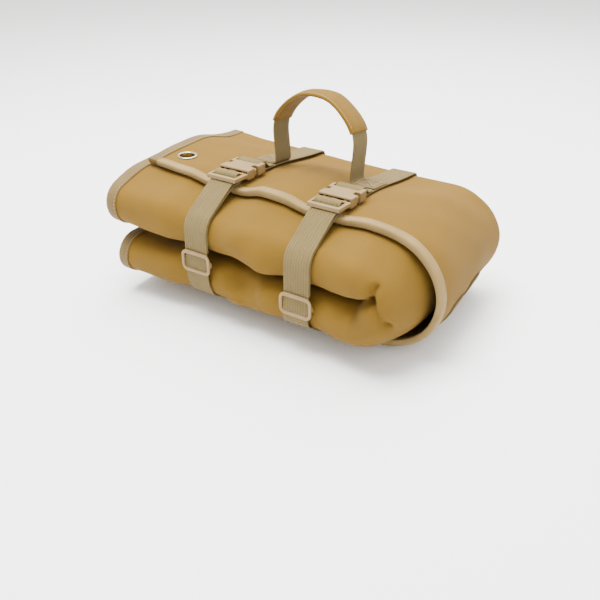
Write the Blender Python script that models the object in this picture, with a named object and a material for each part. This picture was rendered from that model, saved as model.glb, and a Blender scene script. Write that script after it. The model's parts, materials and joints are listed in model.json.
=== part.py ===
"""Roll-up padded tool mat, rolled and buckled: one bpy object for each sub-part, in metres, +Z up.

The mat is laid out flat first: s runs along its length from the flap's free edge, w across its width and n out
of its outer face. fold_point() takes (s, w, n) to the rolled and folded shape, so every sewn piece is placed in
flat coordinates and follows the cloth. X runs along the roll to its folded end, and Y from front to back.
"""

import math

import bmesh
import bpy
from mathutils import Matrix, Vector

# ---------------------------------------------------------------- driving dimensions
MAT_LENGTH = 1.800
MAT_WIDTH = 0.686
MAT_THICKNESS = 0.0026
FRONT_RADIUS = 0.0176  # the roll's outermost layer, at the lower part of its front
SHOULDER_RADIUS = 0.1500  # and where its top slopes down to the front
SHOULDER_DEGREES = 22.0
CLEFT_GAP = 0.0040  # between the two halves of the folded roll
FLAP_SETBACK = 0.0400  # from the roll's front to the flap's free edge
TAIL_SETBACK = 0.0880  # from the roll's front to the tail's end, inside the roll
FLAP_PITCH = 0.0062  # from the flap's middle to the middle of the layer under it
FLAP_STAND_OFF = 0.0070  # how far the flap stands off the roll at the front of the folded end
END_SPLAY = 0.0090  # how far the upper half lifts at its open end
END_STAGGERS = {"upper": 0.0130, "lower": 0.0060}  # how far the rolled layers reach past the flap's end

FIT_GAP = 0.0003
TAPE_THICKNESS = 0.0007
TAPE_WIDTH = 0.0110
EDGE_STRIP_WIDTH = 0.0100

SEAM_PLACES = (0.215, 0.658, 1.120, 1.578)
PANEL_NAMES = ("flap_panel", "near_pocket_panel", "centre_panel", "far_pocket_panel", "tail_panel")
SEAM_GAP = 0.0006

POCKET_THICKNESS = 0.0007
POCKET_MIDDLE = 0.393
POCKET_DIVIDER = 0.038

EYELET_INSET = 0.0270
EYELET_FLANGE_RADIUS = 0.0100
EYELET_BARREL_RADIUS = 0.0082
EYELET_HOLE_RADIUS = 0.0074

LADDER_STARTS = (0.031, 0.077)
LADDER_WIDTH = 0.0230
LADDER_THICKNESS = 0.0012
LADDER_SPANS = ((0.013, 0.157), (0.167, 0.301))  # past the middle of the mat's width

WEBBING_WIDTH = 0.0254
WEBBING_THICKNESS = 0.0015
STRAP_PLACES = (0.092, 0.200)
STRAP_TURN_BACK = 0.020
REST_SPAN = (0.052, 0.188)  # behind the roll's front, where the straps lie flat underneath

SLIDER_RISES = {"left": -0.001, "right": -0.012}  # of the slider's middle over the cleft
BUCKLE_CENTRE = 0.060  # behind the roll's front
BUCKLE_HALF_HEIGHT = 0.0048
BUCKLE_WIDTH = 0.0336
RECEPTACLE_LENGTH = 0.0270
PLUG_LENGTH = 0.0190
PLUG_HALF_HEIGHT = 0.0020
PLATE_THICKNESS = 0.0017
BAR = 0.0034
LATCH_LENGTH = 0.0060
ARM_THICKNESS = 0.0050

SLIDER_HEIGHT = 0.0210
SLIDER_WIDTH = 0.0324
SLIDER_BAR = 0.0034
SLIDER_DEPTH = 0.0017
SLIDER_TRAVEL = (-0.006, 0.008)

HANDLE_PLACE = 0.118  # behind the roll's front
HANDLE_RISE = 0.070
HANDLE_LEG = 0.036
HANDLE_BEND = 0.003
HANDLE_SPREAD = 0.002  # how far the arch leans out past its feet
HANDLE_STEPS = 12
GRIP_START_RISE = 0.040
GRIP_WIDTH = 0.0290
GRIP_THICKNESS = 0.0050

SHOULDER_STEPS = 3
TURN_STEPS = 6
FOLD_STEPS = 4
BEND_STEPS = 4  # to the middle of the folded end

# ---------------------------------------------------------------- worked-out sizes
HALF_THICKNESS = MAT_THICKNESS / 2
LAYER_PITCH = MAT_THICKNESS + 2 * (FIT_GAP + TAPE_THICKNESS) + FIT_GAP
HALF_WIDTH = MAT_WIDTH / 2
TAPE_OUT = HALF_THICKNESS + FIT_GAP + TAPE_THICKNESS
LADDER_OUT = HALF_THICKNESS + FIT_GAP + LADDER_THICKNESS
SHOULDER = math.radians(SHOULDER_DEGREES)
LAYER_RISE = FRONT_RADIUS * (1 + math.cos(SHOULDER)) + SHOULDER_RADIUS * (1 - math.cos(SHOULDER))
ROLL_THICKNESS = LAYER_RISE + MAT_THICKNESS
OUTER_RADIUS = CLEFT_GAP / 2 + ROLL_THICKNESS + FLAP_PITCH + FLAP_STAND_OFF / 2
STRAIGHT = HALF_WIDTH - math.pi / 2 * OUTER_RADIUS
HALF_HEIGHT = CLEFT_GAP / 2 + ROLL_THICKNESS + FLAP_PITCH
FOOT = WEBBING_THICKNESS + FIT_GAP + LADDER_OUT - HALF_THICKNESS
MIDDLE_HEIGHT = FOOT + HALF_HEIGHT
STRAP_OFFSET = FIT_GAP + WEBBING_THICKNESS / 2
STRAND_PITCH = WEBBING_THICKNESS + FIT_GAP
HALF_WEBBING = WEBBING_WIDTH / 2

# ---------------------------------------------------------------- materials and scene


def clear_scene():
    for obj in list(bpy.data.objects):
        bpy.data.objects.remove(obj)


def material(name, colour, roughness, metallic=0.0):
    made = bpy.data.materials.new(name)
    made.use_nodes = True
    shader = made.node_tree.nodes["Principled BSDF"]
    shader.inputs["Base Color"].default_value = (*colour, 1.0)
    shader.inputs["Roughness"].default_value = roughness
    shader.inputs["Metallic"].default_value = metallic
    return made


clear_scene()
CANVAS = material("tan_canvas", (0.47, 0.33, 0.13), 0.85)
WEBBING = material("webbing", (0.40, 0.34, 0.21), 0.9)
TAPE = material("binding_tape", (0.52, 0.44, 0.29), 0.9)
POCKET = material("pocket_cloth", (0.30, 0.24, 0.14), 0.9)
PLASTIC = material("moulded_plastic", (0.55, 0.43, 0.27), 0.5)
METAL = material("eyelet_metal", (0.62, 0.60, 0.50), 0.3, 1.0)

ROOT = bpy.data.objects.new("bundle_origin", None)
bpy.context.scene.collection.objects.link(ROOT)


def add_object(name, mesh_bm, finish, parent=ROOT):
    bmesh.ops.remove_doubles(mesh_bm, verts=mesh_bm.verts, dist=1e-7)
    bmesh.ops.recalc_face_normals(mesh_bm, faces=mesh_bm.faces)
    mesh = bpy.data.meshes.new(name)
    mesh_bm.to_mesh(mesh)
    mesh_bm.free()
    mesh.materials.append(finish)
    obj = bpy.data.objects.new(name, mesh)
    bpy.context.scene.collection.objects.link(obj)
    hang_on(obj, parent)
    return obj


def hang_on(obj, parent):
    """Parents an object without moving it, so that its parent's place is its joint's axis."""
    bpy.context.view_layer.update()
    obj.parent = parent
    obj.matrix_parent_inverse = parent.matrix_world.inverted()


def joint_empty(name, place, parent=ROOT):
    empty = bpy.data.objects.new(name, None)
    empty.location = place
    bpy.context.scene.collection.objects.link(empty)
    hang_on(empty, parent)
    return empty


def cut(obj, cutter):
    cutter.hide_render = True
    cutter.display_type = "WIRE"
    modifier = obj.modifiers.new("cut_" + cutter.name, "BOOLEAN")
    modifier.operation = "DIFFERENCE"
    modifier.object = cutter


def bevel(obj, width, segments=2):
    modifier = obj.modifiers.new("bevel", "BEVEL")
    modifier.width = width
    modifier.segments = segments
    modifier.limit_method = "ANGLE"


# ---------------------------------------------------------------- the roll's section, in (y, q)
# y runs back from the front of the roll's outermost layer, and q outwards from its side of the cleft.
# Every turn of the roll is the outermost one moved in by a whole number of layer pitches.


def arc(centre, radius, start, end, steps):
    angles = [math.radians(start + (end - start) * i / steps) for i in range(steps + 1)]
    return [centre + Vector((math.cos(a), math.sin(a))) * radius for a in angles]


FRONT_CENTRE = Vector((FRONT_RADIUS, FRONT_RADIUS))
SHOULDER_REACH = SHOULDER_RADIUS - FRONT_RADIUS
SHOULDER_CENTRE = FRONT_CENTRE + Vector((math.sin(SHOULDER), -math.cos(SHOULDER))) * SHOULDER_REACH


def turn_counts():
    """How many turns fit inside the outermost one, at the back and at the front."""
    at_back = (LAYER_RISE / LAYER_PITCH - 2) / 2
    at_front = (FRONT_RADIUS - LAYER_PITCH / 2) / LAYER_PITCH
    return math.floor(min(at_back, at_front)) + 1


def section_line(depth):
    """The mat's middle line: the flap from its free edge, the fold at the back, then the roll inwards."""
    flap_radius = SHOULDER_RADIUS + FLAP_PITCH
    start = 90 + math.degrees(math.asin((SHOULDER_CENTRE.x - FLAP_SETBACK) / flap_radius))
    line = arc(SHOULDER_CENTRE, flap_radius, start, 90, SHOULDER_STEPS)
    fold_radius = FLAP_PITCH / 2
    fold_centre = Vector((depth - fold_radius, LAYER_RISE + fold_radius))
    line += arc(fold_centre, fold_radius, 90, -90, FOLD_STEPS)
    flap_length = polyline_length(line[: -FOLD_STEPS])
    back = depth - (LAYER_RISE - LAYER_PITCH) / 2
    for turn in range(turn_counts()):
        inset = turn * LAYER_PITCH
        line += arc(SHOULDER_CENTRE, SHOULDER_RADIUS - inset, 90, 90 + SHOULDER_DEGREES, SHOULDER_STEPS)
        line += arc(FRONT_CENTRE, FRONT_RADIUS - inset, 90 + SHOULDER_DEGREES, 270, TURN_STEPS)[1:]
        radius = (LAYER_RISE - LAYER_PITCH) / 2 - inset
        line += arc(Vector((back, inset + radius)), radius, -90, 90, TURN_STEPS)
    line.append(Vector((TAIL_SETBACK, line[-1].y)))
    return line, flap_length


def polyline_length(line):
    return sum((b - a).length for a, b in zip(line, line[1:]))


def flat_for_eyelets(line):
    """The line without the points under an eyelet, so that each eyelet sits on one flat facet."""
    reach = EYELET_FLANGE_RADIUS + 4 * FIT_GAP
    total, gone, kept = polyline_length(line), 0.0, [line[0]]
    for a, b in zip(line, line[1:]):
        gone += (b - a).length
        if abs(min(gone, total - gone) - EYELET_INSET) > reach:
            kept.append(b)
    return kept


def solve_depth():
    """The depth of the roll that takes up the whole of the mat's length."""
    low, high = 2 * FRONT_RADIUS, MAT_LENGTH
    for _ in range(60):
        middle = (low + high) / 2
        if polyline_length(flat_for_eyelets(section_line(middle)[0])) < MAT_LENGTH:
            low = middle
        else:
            high = middle
    return (low + high) / 2


DEPTH = solve_depth()
LINE, FLAP_LENGTH = section_line(DEPTH)
LINE = flat_for_eyelets(LINE)
FRONT_TO_CENTRE = (DEPTH + MAT_THICKNESS) / 2
STATIONS = [0.0]
for near, far in zip(LINE, LINE[1:]):
    STATIONS.append(STATIONS[-1] + (far - near).length)


def miters(line):
    """At each point, the direction and scale that offset both neighbouring stretches by the same distance."""
    normals = []
    for a, b in zip(line, line[1:]):
        along = (b - a).normalized()
        normals.append(Vector((-along.y, along.x)))
    found = [normals[0]]
    for first, second in zip(normals, normals[1:]):
        found.append((first + second) / (1 + first.dot(second)))
    found.append(normals[-1])
    return found


LINE_MITERS = miters(LINE)
WIDTH_STATIONS = [STRAIGHT * share for share in (0.0, 0.45)]
for bend_step in range(BEND_STEPS + 1):
    WIDTH_STATIONS.append(STRAIGHT + (HALF_WIDTH - STRAIGHT) * bend_step / BEND_STEPS)
WIDTH_STATIONS += [MAT_WIDTH - w for w in reversed(WIDTH_STATIONS[:-1])]


def smooth_step(value):
    value = min(1.0, max(0.0, value))
    return value * value * (3 - 2 * value)


def grid_point(k, w, n):
    """The folded place of the mat at section station k, width w and height n out of its outer face."""
    section = LINE[k] + LINE_MITERS[k] * n
    y, q = section.x, section.y + HALF_THICKNESS
    upper = w <= HALF_WIDTH
    inward = w if upper else MAT_WIDTH - w
    radius = CLEFT_GAP / 2 + q
    if inward <= STRAIGHT:
        x, rise = inward, radius
    else:
        turn = (inward - STRAIGHT) / (HALF_WIDTH - STRAIGHT) * math.pi / 2
        on_flap = 1 - smooth_step(STATIONS[k] / FLAP_LENGTH)
        radius += FLAP_STAND_OFF * math.sin(turn) ** 2 * on_flap
        x, rise = STRAIGHT + radius * math.sin(turn), radius * math.cos(turn)
    loose = max(0.0, 1 - inward / STRAIGHT)
    x -= END_STAGGERS["upper" if upper else "lower"] * loose * min(1.0, STATIONS[k] / FLAP_LENGTH)
    z = MIDDLE_HEIGHT + (rise if upper else -rise)
    if upper:
        z += END_SPLAY * loose * loose
    return Vector((x, y + HALF_THICKNESS - FRONT_TO_CENTRE, z))


def bracket(values, value):
    """The index below value and how far value is past it, as a share; it runs on past either end."""
    index = 0
    while index < len(values) - 2 and value > values[index + 1]:
        index += 1
    return index, (value - values[index]) / (values[index + 1] - values[index])


def fold_point(s, w, n):
    """(s, w, n) in the flat mat to its place in the roll, on the same facets as the mat itself."""
    k, along = bracket(STATIONS, s)
    j, across = bracket(WIDTH_STATIONS, w)
    corners = [
        [grid_point(k + dk, WIDTH_STATIONS[j + dj], n) for dj in (0, 1)] for dk in (0, 1)
    ]
    near = corners[0][0].lerp(corners[0][1], across)
    far = corners[1][0].lerp(corners[1][1], across)
    return near.lerp(far, along)


def spaced(low, high, values):
    """low and high with every station between them."""
    return [low] + [v for v in sorted(values) if low + 1e-5 < v < high - 1e-5] + [high]


def sweep(name, rings, finish, parent=ROOT, strip_caps=False):
    """A closed solid through rings of points that all have the same count.

    strip_caps closes the ends of a thin section, which goes out along one face and back along the other,
    with one quad for each stretch, so that the end follows the cloth where it isn't flat.
    """
    bm = bmesh.new()
    layers = [[bm.verts.new(point) for point in ring] for ring in rings]
    count = len(rings[0])
    for near_ring, far_ring in zip(layers, layers[1:]):
        for i in range(count):
            after = (i + 1) % count
            bm.faces.new((near_ring[i], near_ring[after], far_ring[after], far_ring[i]))
    for ring in (layers[0], layers[-1]):
        if strip_caps:
            for i in range(count // 2 - 1):
                bm.faces.new((ring[i], ring[i + 1], ring[count - 2 - i], ring[count - 1 - i]))
        else:
            bm.faces.new(ring)
    return add_object(name, bm, finish, parent)


def slab_across(name, s_range, w_range, n_range, finish):
    """A layer of cloth on the mat: its section in (s, n) swept across the width."""
    along = spaced(*s_range, STATIONS)
    outline = [(s, n_range[0]) for s in along] + [(s, n_range[1]) for s in reversed(along)]
    across = spaced(*w_range, WIDTH_STATIONS)
    rings = [[fold_point(s, w, n) for s, n in outline] for w in across]
    return sweep(name, rings, finish, strip_caps=True)


# ---------------------------------------------------------------- the mat and what is sewn to it


def eyelet_places():
    ends = {"flap": EYELET_INSET, "tail": MAT_LENGTH - EYELET_INSET}
    sides = {"upper": EYELET_INSET, "lower": MAT_WIDTH - EYELET_INSET}
    return [(f"{end}_{side}", s, w) for end, s in ends.items() for side, w in sides.items()]


def eyelet_frame(s, w):
    """The flat place of an eyelet: across the mat, along it and out of its outer face."""
    centre = fold_point(s, w, 0)
    along = (fold_point(s + EYELET_BARREL_RADIUS, w, 0) - centre).normalized()
    across = (fold_point(s, w + EYELET_BARREL_RADIUS, 0) - centre).normalized()
    out = along.cross(across).normalized()
    if out.dot(fold_point(s, w, HALF_THICKNESS) - centre) < 0:
        out = -out
    matrix = Matrix((along, out.cross(along), out)).transposed().to_4x4()
    matrix.translation = centre
    return matrix


def turned(name, profile, frame, finish, count=20):
    """A profile of (radius, n) turned round the frame's n axis into a closed ring."""
    bm = bmesh.new()
    turns = [2 * math.pi * i / count for i in range(count)]
    loops = [
        [bm.verts.new(frame @ Vector((r * math.cos(a), r * math.sin(a), n))) for a in turns]
        for r, n in profile
    ]
    for inner, outer in zip(loops, loops[1:] + loops[:1]):
        for i in range(count):
            after = (i + 1) % count
            bm.faces.new((inner[i], inner[after], outer[after], outer[i]))
    return add_object(name, bm, finish)


def rod(name, radius, n_range, frame, finish, count=20):
    turns = [2 * math.pi * i / count for i in range(count)]
    rings = [
        [frame @ Vector((radius * math.cos(a), radius * math.sin(a), n)) for a in turns] for n in n_range
    ]
    return sweep(name, rings, finish)


def make_panels():
    """Five panels, end to end, with the eyelets' holes cut through the first and the last."""
    edges = [-SEAM_GAP / 2] + list(SEAM_PLACES) + [MAT_LENGTH + SEAM_GAP / 2]
    panels = {}
    for name, low, high in zip(PANEL_NAMES, edges, edges[1:]):
        span = (low + SEAM_GAP / 2, high - SEAM_GAP / 2)
        panels[name] = slab_across(
            name, span, (0.0, MAT_WIDTH), (-HALF_THICKNESS, HALF_THICKNESS), CANVAS
        )
    hole, past = EYELET_BARREL_RADIUS + FIT_GAP, MAT_THICKNESS
    for name, s, w in eyelet_places():
        panel = panels[PANEL_NAMES[0] if s < SEAM_PLACES[0] else PANEL_NAMES[-1]]
        cut(panel, rod("hole_" + name, hole, (-past, past), eyelet_frame(s, w), CANVAS))


def make_eyelet(name, s, w):
    """A grommet whose barrel passes through the mat, and the washer that is clinched to it behind."""
    frame = eyelet_frame(s, w)
    face, out = HALF_THICKNESS + FIT_GAP, TAPE_OUT
    grommet = [
        (EYELET_HOLE_RADIUS, -out),
        (EYELET_BARREL_RADIUS, -out),
        (EYELET_BARREL_RADIUS, face),
        (EYELET_FLANGE_RADIUS, face),
        (EYELET_FLANGE_RADIUS, out),
        (EYELET_HOLE_RADIUS, out),
    ]
    inner = EYELET_BARREL_RADIUS + FIT_GAP
    washer = [
        (inner, -out),
        (EYELET_FLANGE_RADIUS, -out),
        (EYELET_FLANGE_RADIUS, -face),
        (inner, -face),
    ]
    turned("eyelet_grommet_" + name, grommet, frame, METAL)
    turned("eyelet_washer_" + name, washer, frame, METAL)


def binding_outline(edge_stations):
    """A tape folded over an edge at 0, as (distance inwards, n): out along one face and back along the other."""
    inner, outer = HALF_THICKNESS + FIT_GAP, TAPE_OUT
    near = -FIT_GAP
    outside = [-FIT_GAP - TAPE_THICKNESS] + edge_stations
    inside = [near] + edge_stations
    return (
        [(d, -outer) for d in outside]
        + [(d, -inner) for d in reversed(inside)]
        + [(d, inner) for d in inside]
        + [(d, outer) for d in reversed(outside)]
    )


def make_bindings():
    side = binding_outline([TAPE_WIDTH])
    along = spaced(0.0, MAT_LENGTH, STATIONS)
    for name, place in (("upper", lambda d: d), ("lower", lambda d: MAT_WIDTH - d)):
        rings = [[fold_point(s, place(d), n) for d, n in side] for s in along]
        sweep("side_binding_" + name, rings, TAPE)
    first = TAPE_WIDTH + FIT_GAP
    across = spaced(first, MAT_WIDTH - first, WIDTH_STATIONS)
    front = [s for s in STATIONS if 1e-5 < s < TAPE_WIDTH] + [TAPE_WIDTH]
    back = [MAT_LENGTH - s for s in STATIONS if MAT_LENGTH - TAPE_WIDTH < s < MAT_LENGTH - 1e-5]
    back = sorted(back) + [TAPE_WIDTH]
    ends = (("flap", front, lambda d: d), ("tail", back, lambda d: MAT_LENGTH - d))
    for name, stations, place in ends:
        outline = binding_outline(stations)
        rings = [[fold_point(place(d), w, n) for d, n in outline] for w in across]
        sweep("end_binding_" + name, rings, TAPE)


def make_pockets():
    face = HALF_THICKNESS + FIT_GAP
    level = (face, face + POCKET_THICKNESS)
    edge = TAPE_WIDTH + FIT_GAP
    middle_low = POCKET_MIDDLE - POCKET_DIVIDER / 2
    middle_high = POCKET_MIDDLE + POCKET_DIVIDER / 2
    pieces = (
        ("cover_upper", edge, middle_low - FIT_GAP),
        ("divider", middle_low, middle_high),
        ("cover_lower", middle_high + FIT_GAP, MAT_WIDTH - edge),
    )
    half_strip = EDGE_STRIP_WIDTH / 2
    for side, low_seam, high_seam in zip(("near", "far"), SEAM_PLACES[::2], SEAM_PLACES[1::2]):
        span = (low_seam + half_strip + FIT_GAP, high_seam - half_strip - FIT_GAP)
        for piece, low, high in pieces:
            slab_across(f"{side}_pocket_{piece}", span, (low, high), level, POCKET)
        for place, seam in (("front", low_seam), ("back", high_seam)):
            strip = (seam - half_strip, seam + half_strip)
            slab_across(f"{side}_seam_tape_{place}", strip, (edge, MAT_WIDTH - edge), level, TAPE)


def make_ladders():
    face = HALF_THICKNESS + FIT_GAP
    for name, start in zip(("front", "back"), LADDER_STARTS):
        strip = (start, start + LADDER_WIDTH)
        for end, span in zip(("upper", "lower"), LADDER_SPANS):
            across = (HALF_WIDTH + span[0], HALF_WIDTH + span[1])
            slab_across(f"ladder_strip_{name}_{end}", strip, across, (face, LADDER_OUT), WEBBING)


# ---------------------------------------------------------------- plane geometry of the straps, in (y, z)


def convex_hull(points):
    """Corners of the hull, turning anticlockwise."""
    ordered = sorted({(round(p.x, 7), round(p.y, 7)) for p in points})

    def half(sequence):
        chain = []
        for p in sequence:
            while len(chain) > 1:
                a, b = chain[-2], chain[-1]
                if (b[0] - a[0]) * (p[1] - a[1]) - (b[1] - a[1]) * (p[0] - a[0]) > 1e-12:
                    break
                chain.pop()
            chain.append(p)
        return chain[:-1]

    return [Vector(p) for p in half(ordered) + half(reversed(ordered))]


def grown(hull, distance):
    """A convex outline moved out all round."""
    count = len(hull)
    moved = []
    for i in range(count):
        before = (hull[i] - hull[i - 1]).normalized()
        after = (hull[(i + 1) % count] - hull[i]).normalized()
        first, second = Vector((before.y, -before.x)), Vector((after.y, -after.x))
        moved.append(hull[i] + (first + second) / (1 + first.dot(second)) * distance)
    return moved


def taut_run(outline, start, end):
    """The way that a taut strap takes from start to end round the outside of outline, clockwise."""
    hull = convex_hull(outline + [start, end])
    first = min(range(len(hull)), key=lambda i: (hull[i] - start).length)
    chain = []
    for step in range(len(hull)):
        chain.append(hull[(first - step) % len(hull)])
        if (chain[-1] - end).length < 1e-6:
            break
    return chain


def thinned(line, shortest=0.0012):
    kept = [line[0]]
    for point in line[1:-1]:
        if (point - kept[-1]).length > shortest and (point - line[-1]).length > shortest:
            kept.append(point)
    return kept + [line[-1]]


def band(name, line, edges, to_space, finish=WEBBING, parent=ROOT):
    """A band of webbing along a line in a plane; to_space takes (point, place across) to (x, y, z)."""
    line = thinned(line)
    sides = [m * WEBBING_THICKNESS / 2 for m in miters(line)]
    outline = [p + m for p, m in zip(line, sides)] + [p - m for p, m in reversed(list(zip(line, sides)))]
    rings = [[to_space(p, across) for p in outline] for across in edges]
    return sweep(name, rings, finish, parent, strip_caps=True)


def strap_band(name, line, place):
    """Webbing in the (y, z) plane, centred on x = place."""
    edges = (place - HALF_WEBBING, place + HALF_WEBBING)
    return band(name, line, edges, lambda p, x: (x, p.x, p.y))


def strap_section(place):
    """Every outer corner of the bundle under a strap, as (y, z), whichever of the strap's edges it is under."""
    edges = (place - SLOT_HALF, place + SLOT_HALF)
    widths = [w for edge in edges for w in (edge, MAT_WIDTH - edge)]
    reach_of_ladders = LADDER_STARTS[-1] + LADDER_WIDTH
    points = []
    layer_edges = [TAPE_WIDTH, LADDER_STARTS[0], reach_of_ladders]
    for s in spaced(-FIT_GAP - TAPE_THICKNESS, MAT_LENGTH, STATIONS + layer_edges):
        for w in widths:
            reach = HALF_THICKNESS
            if s <= TAPE_WIDTH:
                reach = TAPE_OUT
            elif w > HALF_WIDTH and LADDER_STARTS[0] <= s <= reach_of_ladders:
                reach = LADDER_OUT
            for n in (-reach, reach):
                point = fold_point(s, w, n)
                points.append(Vector((point.y, point.z)))
    front, lowest = min(p.x for p in points), min(p.y for p in points)
    points += [Vector((front + behind, lowest)) for behind in REST_SPAN]
    return convex_hull(points)


def outline_at(hull, place, upper=True):
    """The hull's top (or underside) at this distance from the front, and the direction along it, forwards."""
    count = len(hull)
    for i in range(count):
        a, b = hull[i], hull[(i + 1) % count]
        forwards = b.x < a.x  # anticlockwise, so the top runs forwards
        if forwards == upper and min(a.x, b.x) <= place < max(a.x, b.x):
            share = (place - a.x) / (b.x - a.x)
            return a.lerp(b, share), (b - a).normalized()
    raise ValueError("the strap's plane has no outline here")


# ---------------------------------------------------------------- moulded pieces in their own frame
# u runs forwards along the strap, v across it and n away from the bundle.


def frame_matrix(origin, forwards):
    """The frame at a (x, (y, z)) origin whose u runs along a (y, z) direction."""
    x, place = origin
    u = Vector((0.0, forwards.x, forwards.y))
    v = Vector((1.0, 0.0, 0.0))
    n = u.cross(v)
    matrix = Matrix((u, v, n)).transposed().to_4x4()
    matrix.translation = (x, place.x, place.y)
    return matrix


def prism(name, outline, n_range, frame, finish=PLASTIC, parent=ROOT):
    """An outline in (u, v) raised between two heights."""
    rings = [[frame @ Vector((u, v, n)) for u, v in outline] for n in n_range]
    return sweep(name, rings, finish, parent)


def box_outline(u_range, v_range):
    return [
        (u_range[0], v_range[0]),
        (u_range[1], v_range[0]),
        (u_range[1], v_range[1]),
        (u_range[0], v_range[1]),
    ]


def both_ways(half):
    return (-half, half)


SLOT_HALF = HALF_WEBBING + 2 * FIT_GAP
HALF_BUCKLE = BUCKLE_WIDTH / 2
WINDOW = (RECEPTACLE_LENGTH * 0.42, RECEPTACLE_LENGTH * 0.42 + LATCH_LENGTH)
CAVITY_HALF = HALF_BUCKLE - PLATE_THICKNESS
SLOT_LENGTH = WEBBING_THICKNESS + 8 * FIT_GAP
PLUG_START = RECEPTACLE_LENGTH + FIT_GAP
CROSS_BAR = PLUG_START + BAR + SLOT_LENGTH
WRAP_RADIUS = math.hypot(BAR / 2, PLUG_HALF_HEIGHT) + 2 * FIT_GAP + WEBBING_THICKNESS / 2


def make_receptacle(side, frame):
    """The housing that the plug snaps into: two plates, a band at the mouth, side windows and a webbing bar."""
    body = prism(
        f"{side}_buckle_receptacle",
        box_outline((0, RECEPTACLE_LENGTH), both_ways(HALF_BUCKLE)),
        both_ways(BUCKLE_HALF_HEIGHT),
        frame,
    )
    bevel(body, 0.0012)
    past = BUCKLE_WIDTH
    cavity = prism(
        f"{side}_cavity",
        box_outline((WINDOW[0] - 0.0005, RECEPTACLE_LENGTH + past), both_ways(CAVITY_HALF)),
        both_ways(BUCKLE_HALF_HEIGHT - PLATE_THICKNESS),
        frame,
    )
    cut(body, cavity)
    for name, sign in (("inner", 1), ("outer", -1)):
        outline = [
            (WINDOW[0], sign * past),
            (WINDOW[0], sign * (HALF_BUCKLE - 0.0052)),
            (WINDOW[1] - 0.0015, sign * (HALF_BUCKLE - 0.0052)),
            (WINDOW[1], sign * (HALF_BUCKLE - 0.0034)),
            (WINDOW[1], sign * past),
        ]
        cut(body, prism(f"{side}_window_{name}", outline, both_ways(past), frame))
    slot = box_outline((BAR, BAR + SLOT_LENGTH), both_ways(SLOT_HALF))
    cut(body, prism(f"{side}_webbing_slot", slot, both_ways(past), frame))
    beside_bar = box_outline((-past, BAR + SLOT_LENGTH / 2), both_ways(SLOT_HALF - FIT_GAP))
    for name, heights in (("over", (PLUG_HALF_HEIGHT, past)), ("under", (-past, -PLUG_HALF_HEIGHT))):
        cut(body, prism(f"{side}_bar_{name}", beside_bar, heights, frame))


def make_plug(side, frame, parent):
    """The plug: a ladder of three bars for the webbing, with a guide tongue that runs into the housing."""
    tongue_half = 0.0024
    outline = [
        (PLUG_START, -HALF_BUCKLE),
        (PLUG_START + PLUG_LENGTH, -HALF_BUCKLE + 0.0008),
        (PLUG_START + PLUG_LENGTH, HALF_BUCKLE - 0.0008),
        (PLUG_START, HALF_BUCKLE),
        (PLUG_START, tongue_half),
        (WINDOW[0] + FIT_GAP, tongue_half * 0.7),
        (WINDOW[0] + FIT_GAP, -tongue_half * 0.7),
        (PLUG_START, -tongue_half),
    ]
    height = min(PLUG_HALF_HEIGHT, BUCKLE_HALF_HEIGHT - PLATE_THICKNESS - FIT_GAP)
    body = prism(f"{side}_buckle_plug", outline, both_ways(height), frame, parent=parent)
    bevel(body, 0.0008)
    for name, start in (("inner", PLUG_START + BAR), ("outer", CROSS_BAR + BAR)):
        length = SLOT_LENGTH if name == "inner" else PLUG_LENGTH - 3 * BAR - SLOT_LENGTH
        slot = box_outline((start, start + length), both_ways(SLOT_HALF))
        cutter = prism(f"{side}_plug_slot_{name}", slot, both_ways(BUCKLE_WIDTH), frame, parent=parent)
        cut(body, cutter)


def arm_outline(sign):
    """One latch arm in (u, v): a thin root by the plug, and a thick tip that hooks behind the mouth's band."""
    root = PLUG_START - FIT_GAP
    out = CAVITY_HALF - FIT_GAP
    pad = HALF_BUCKLE - 0.0003
    hook = WINDOW[1] - FIT_GAP
    tip = WINDOW[0] + FIT_GAP
    outline = [
        (root, out - 0.0060),
        (root, out - 0.0034),
        (hook, out),
        (hook, pad),
        (hook - 0.0022, pad),
        (tip, pad - 0.0022),
        (tip, pad - 0.0044),
        (hook, out - 0.0026),
    ]
    return [(u, sign * v) for u, v in outline]


def make_arm(name, sign, frame, parent):
    half = BUCKLE_HALF_HEIGHT - PLATE_THICKNESS - FIT_GAP
    arm = prism(name, arm_outline(sign), both_ways(min(ARM_THICKNESS / 2, half)), frame, parent=parent)
    bevel(arm, 0.0003, 1)


def make_slider(side, frame, parent):
    """A three-bar slide: the end bars lie over the webbing and the middle bar behind it."""
    half_u, half_v = SLIDER_HEIGHT / 2, SLIDER_WIDTH / 2
    clear = WEBBING_THICKNESS / 2 + FIT_GAP
    front = (clear, clear + SLIDER_DEPTH)
    back = (-clear - SLIDER_DEPTH, -clear)
    body = prism(
        f"{side}_slider", box_outline(both_ways(half_u), both_ways(half_v)), (back[0], front[1]), frame,
        parent=parent,
    )
    bevel(body, 0.0010)
    windows = {
        "upper": ((-half_u + SLIDER_BAR, half_u - SLIDER_BAR), (-clear, SLIDER_WIDTH)),
        "top": ((-SLIDER_WIDTH, -SLIDER_BAR / 2), (-SLIDER_WIDTH, clear)),
        "bottom": ((SLIDER_BAR / 2, SLIDER_WIDTH), (-SLIDER_WIDTH, clear)),
    }
    for name, (span, heights) in windows.items():
        outline = box_outline(span, both_ways(SLOT_HALF))
        cut(body, prism(f"{side}_slider_{name}", outline, heights, frame, parent=parent))


# ---------------------------------------------------------------- straps with their buckles and sliders


JOINTS = []


def joint_line(name, place, axis):
    JOINTS.append((name, Vector(place), axis))


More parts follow.
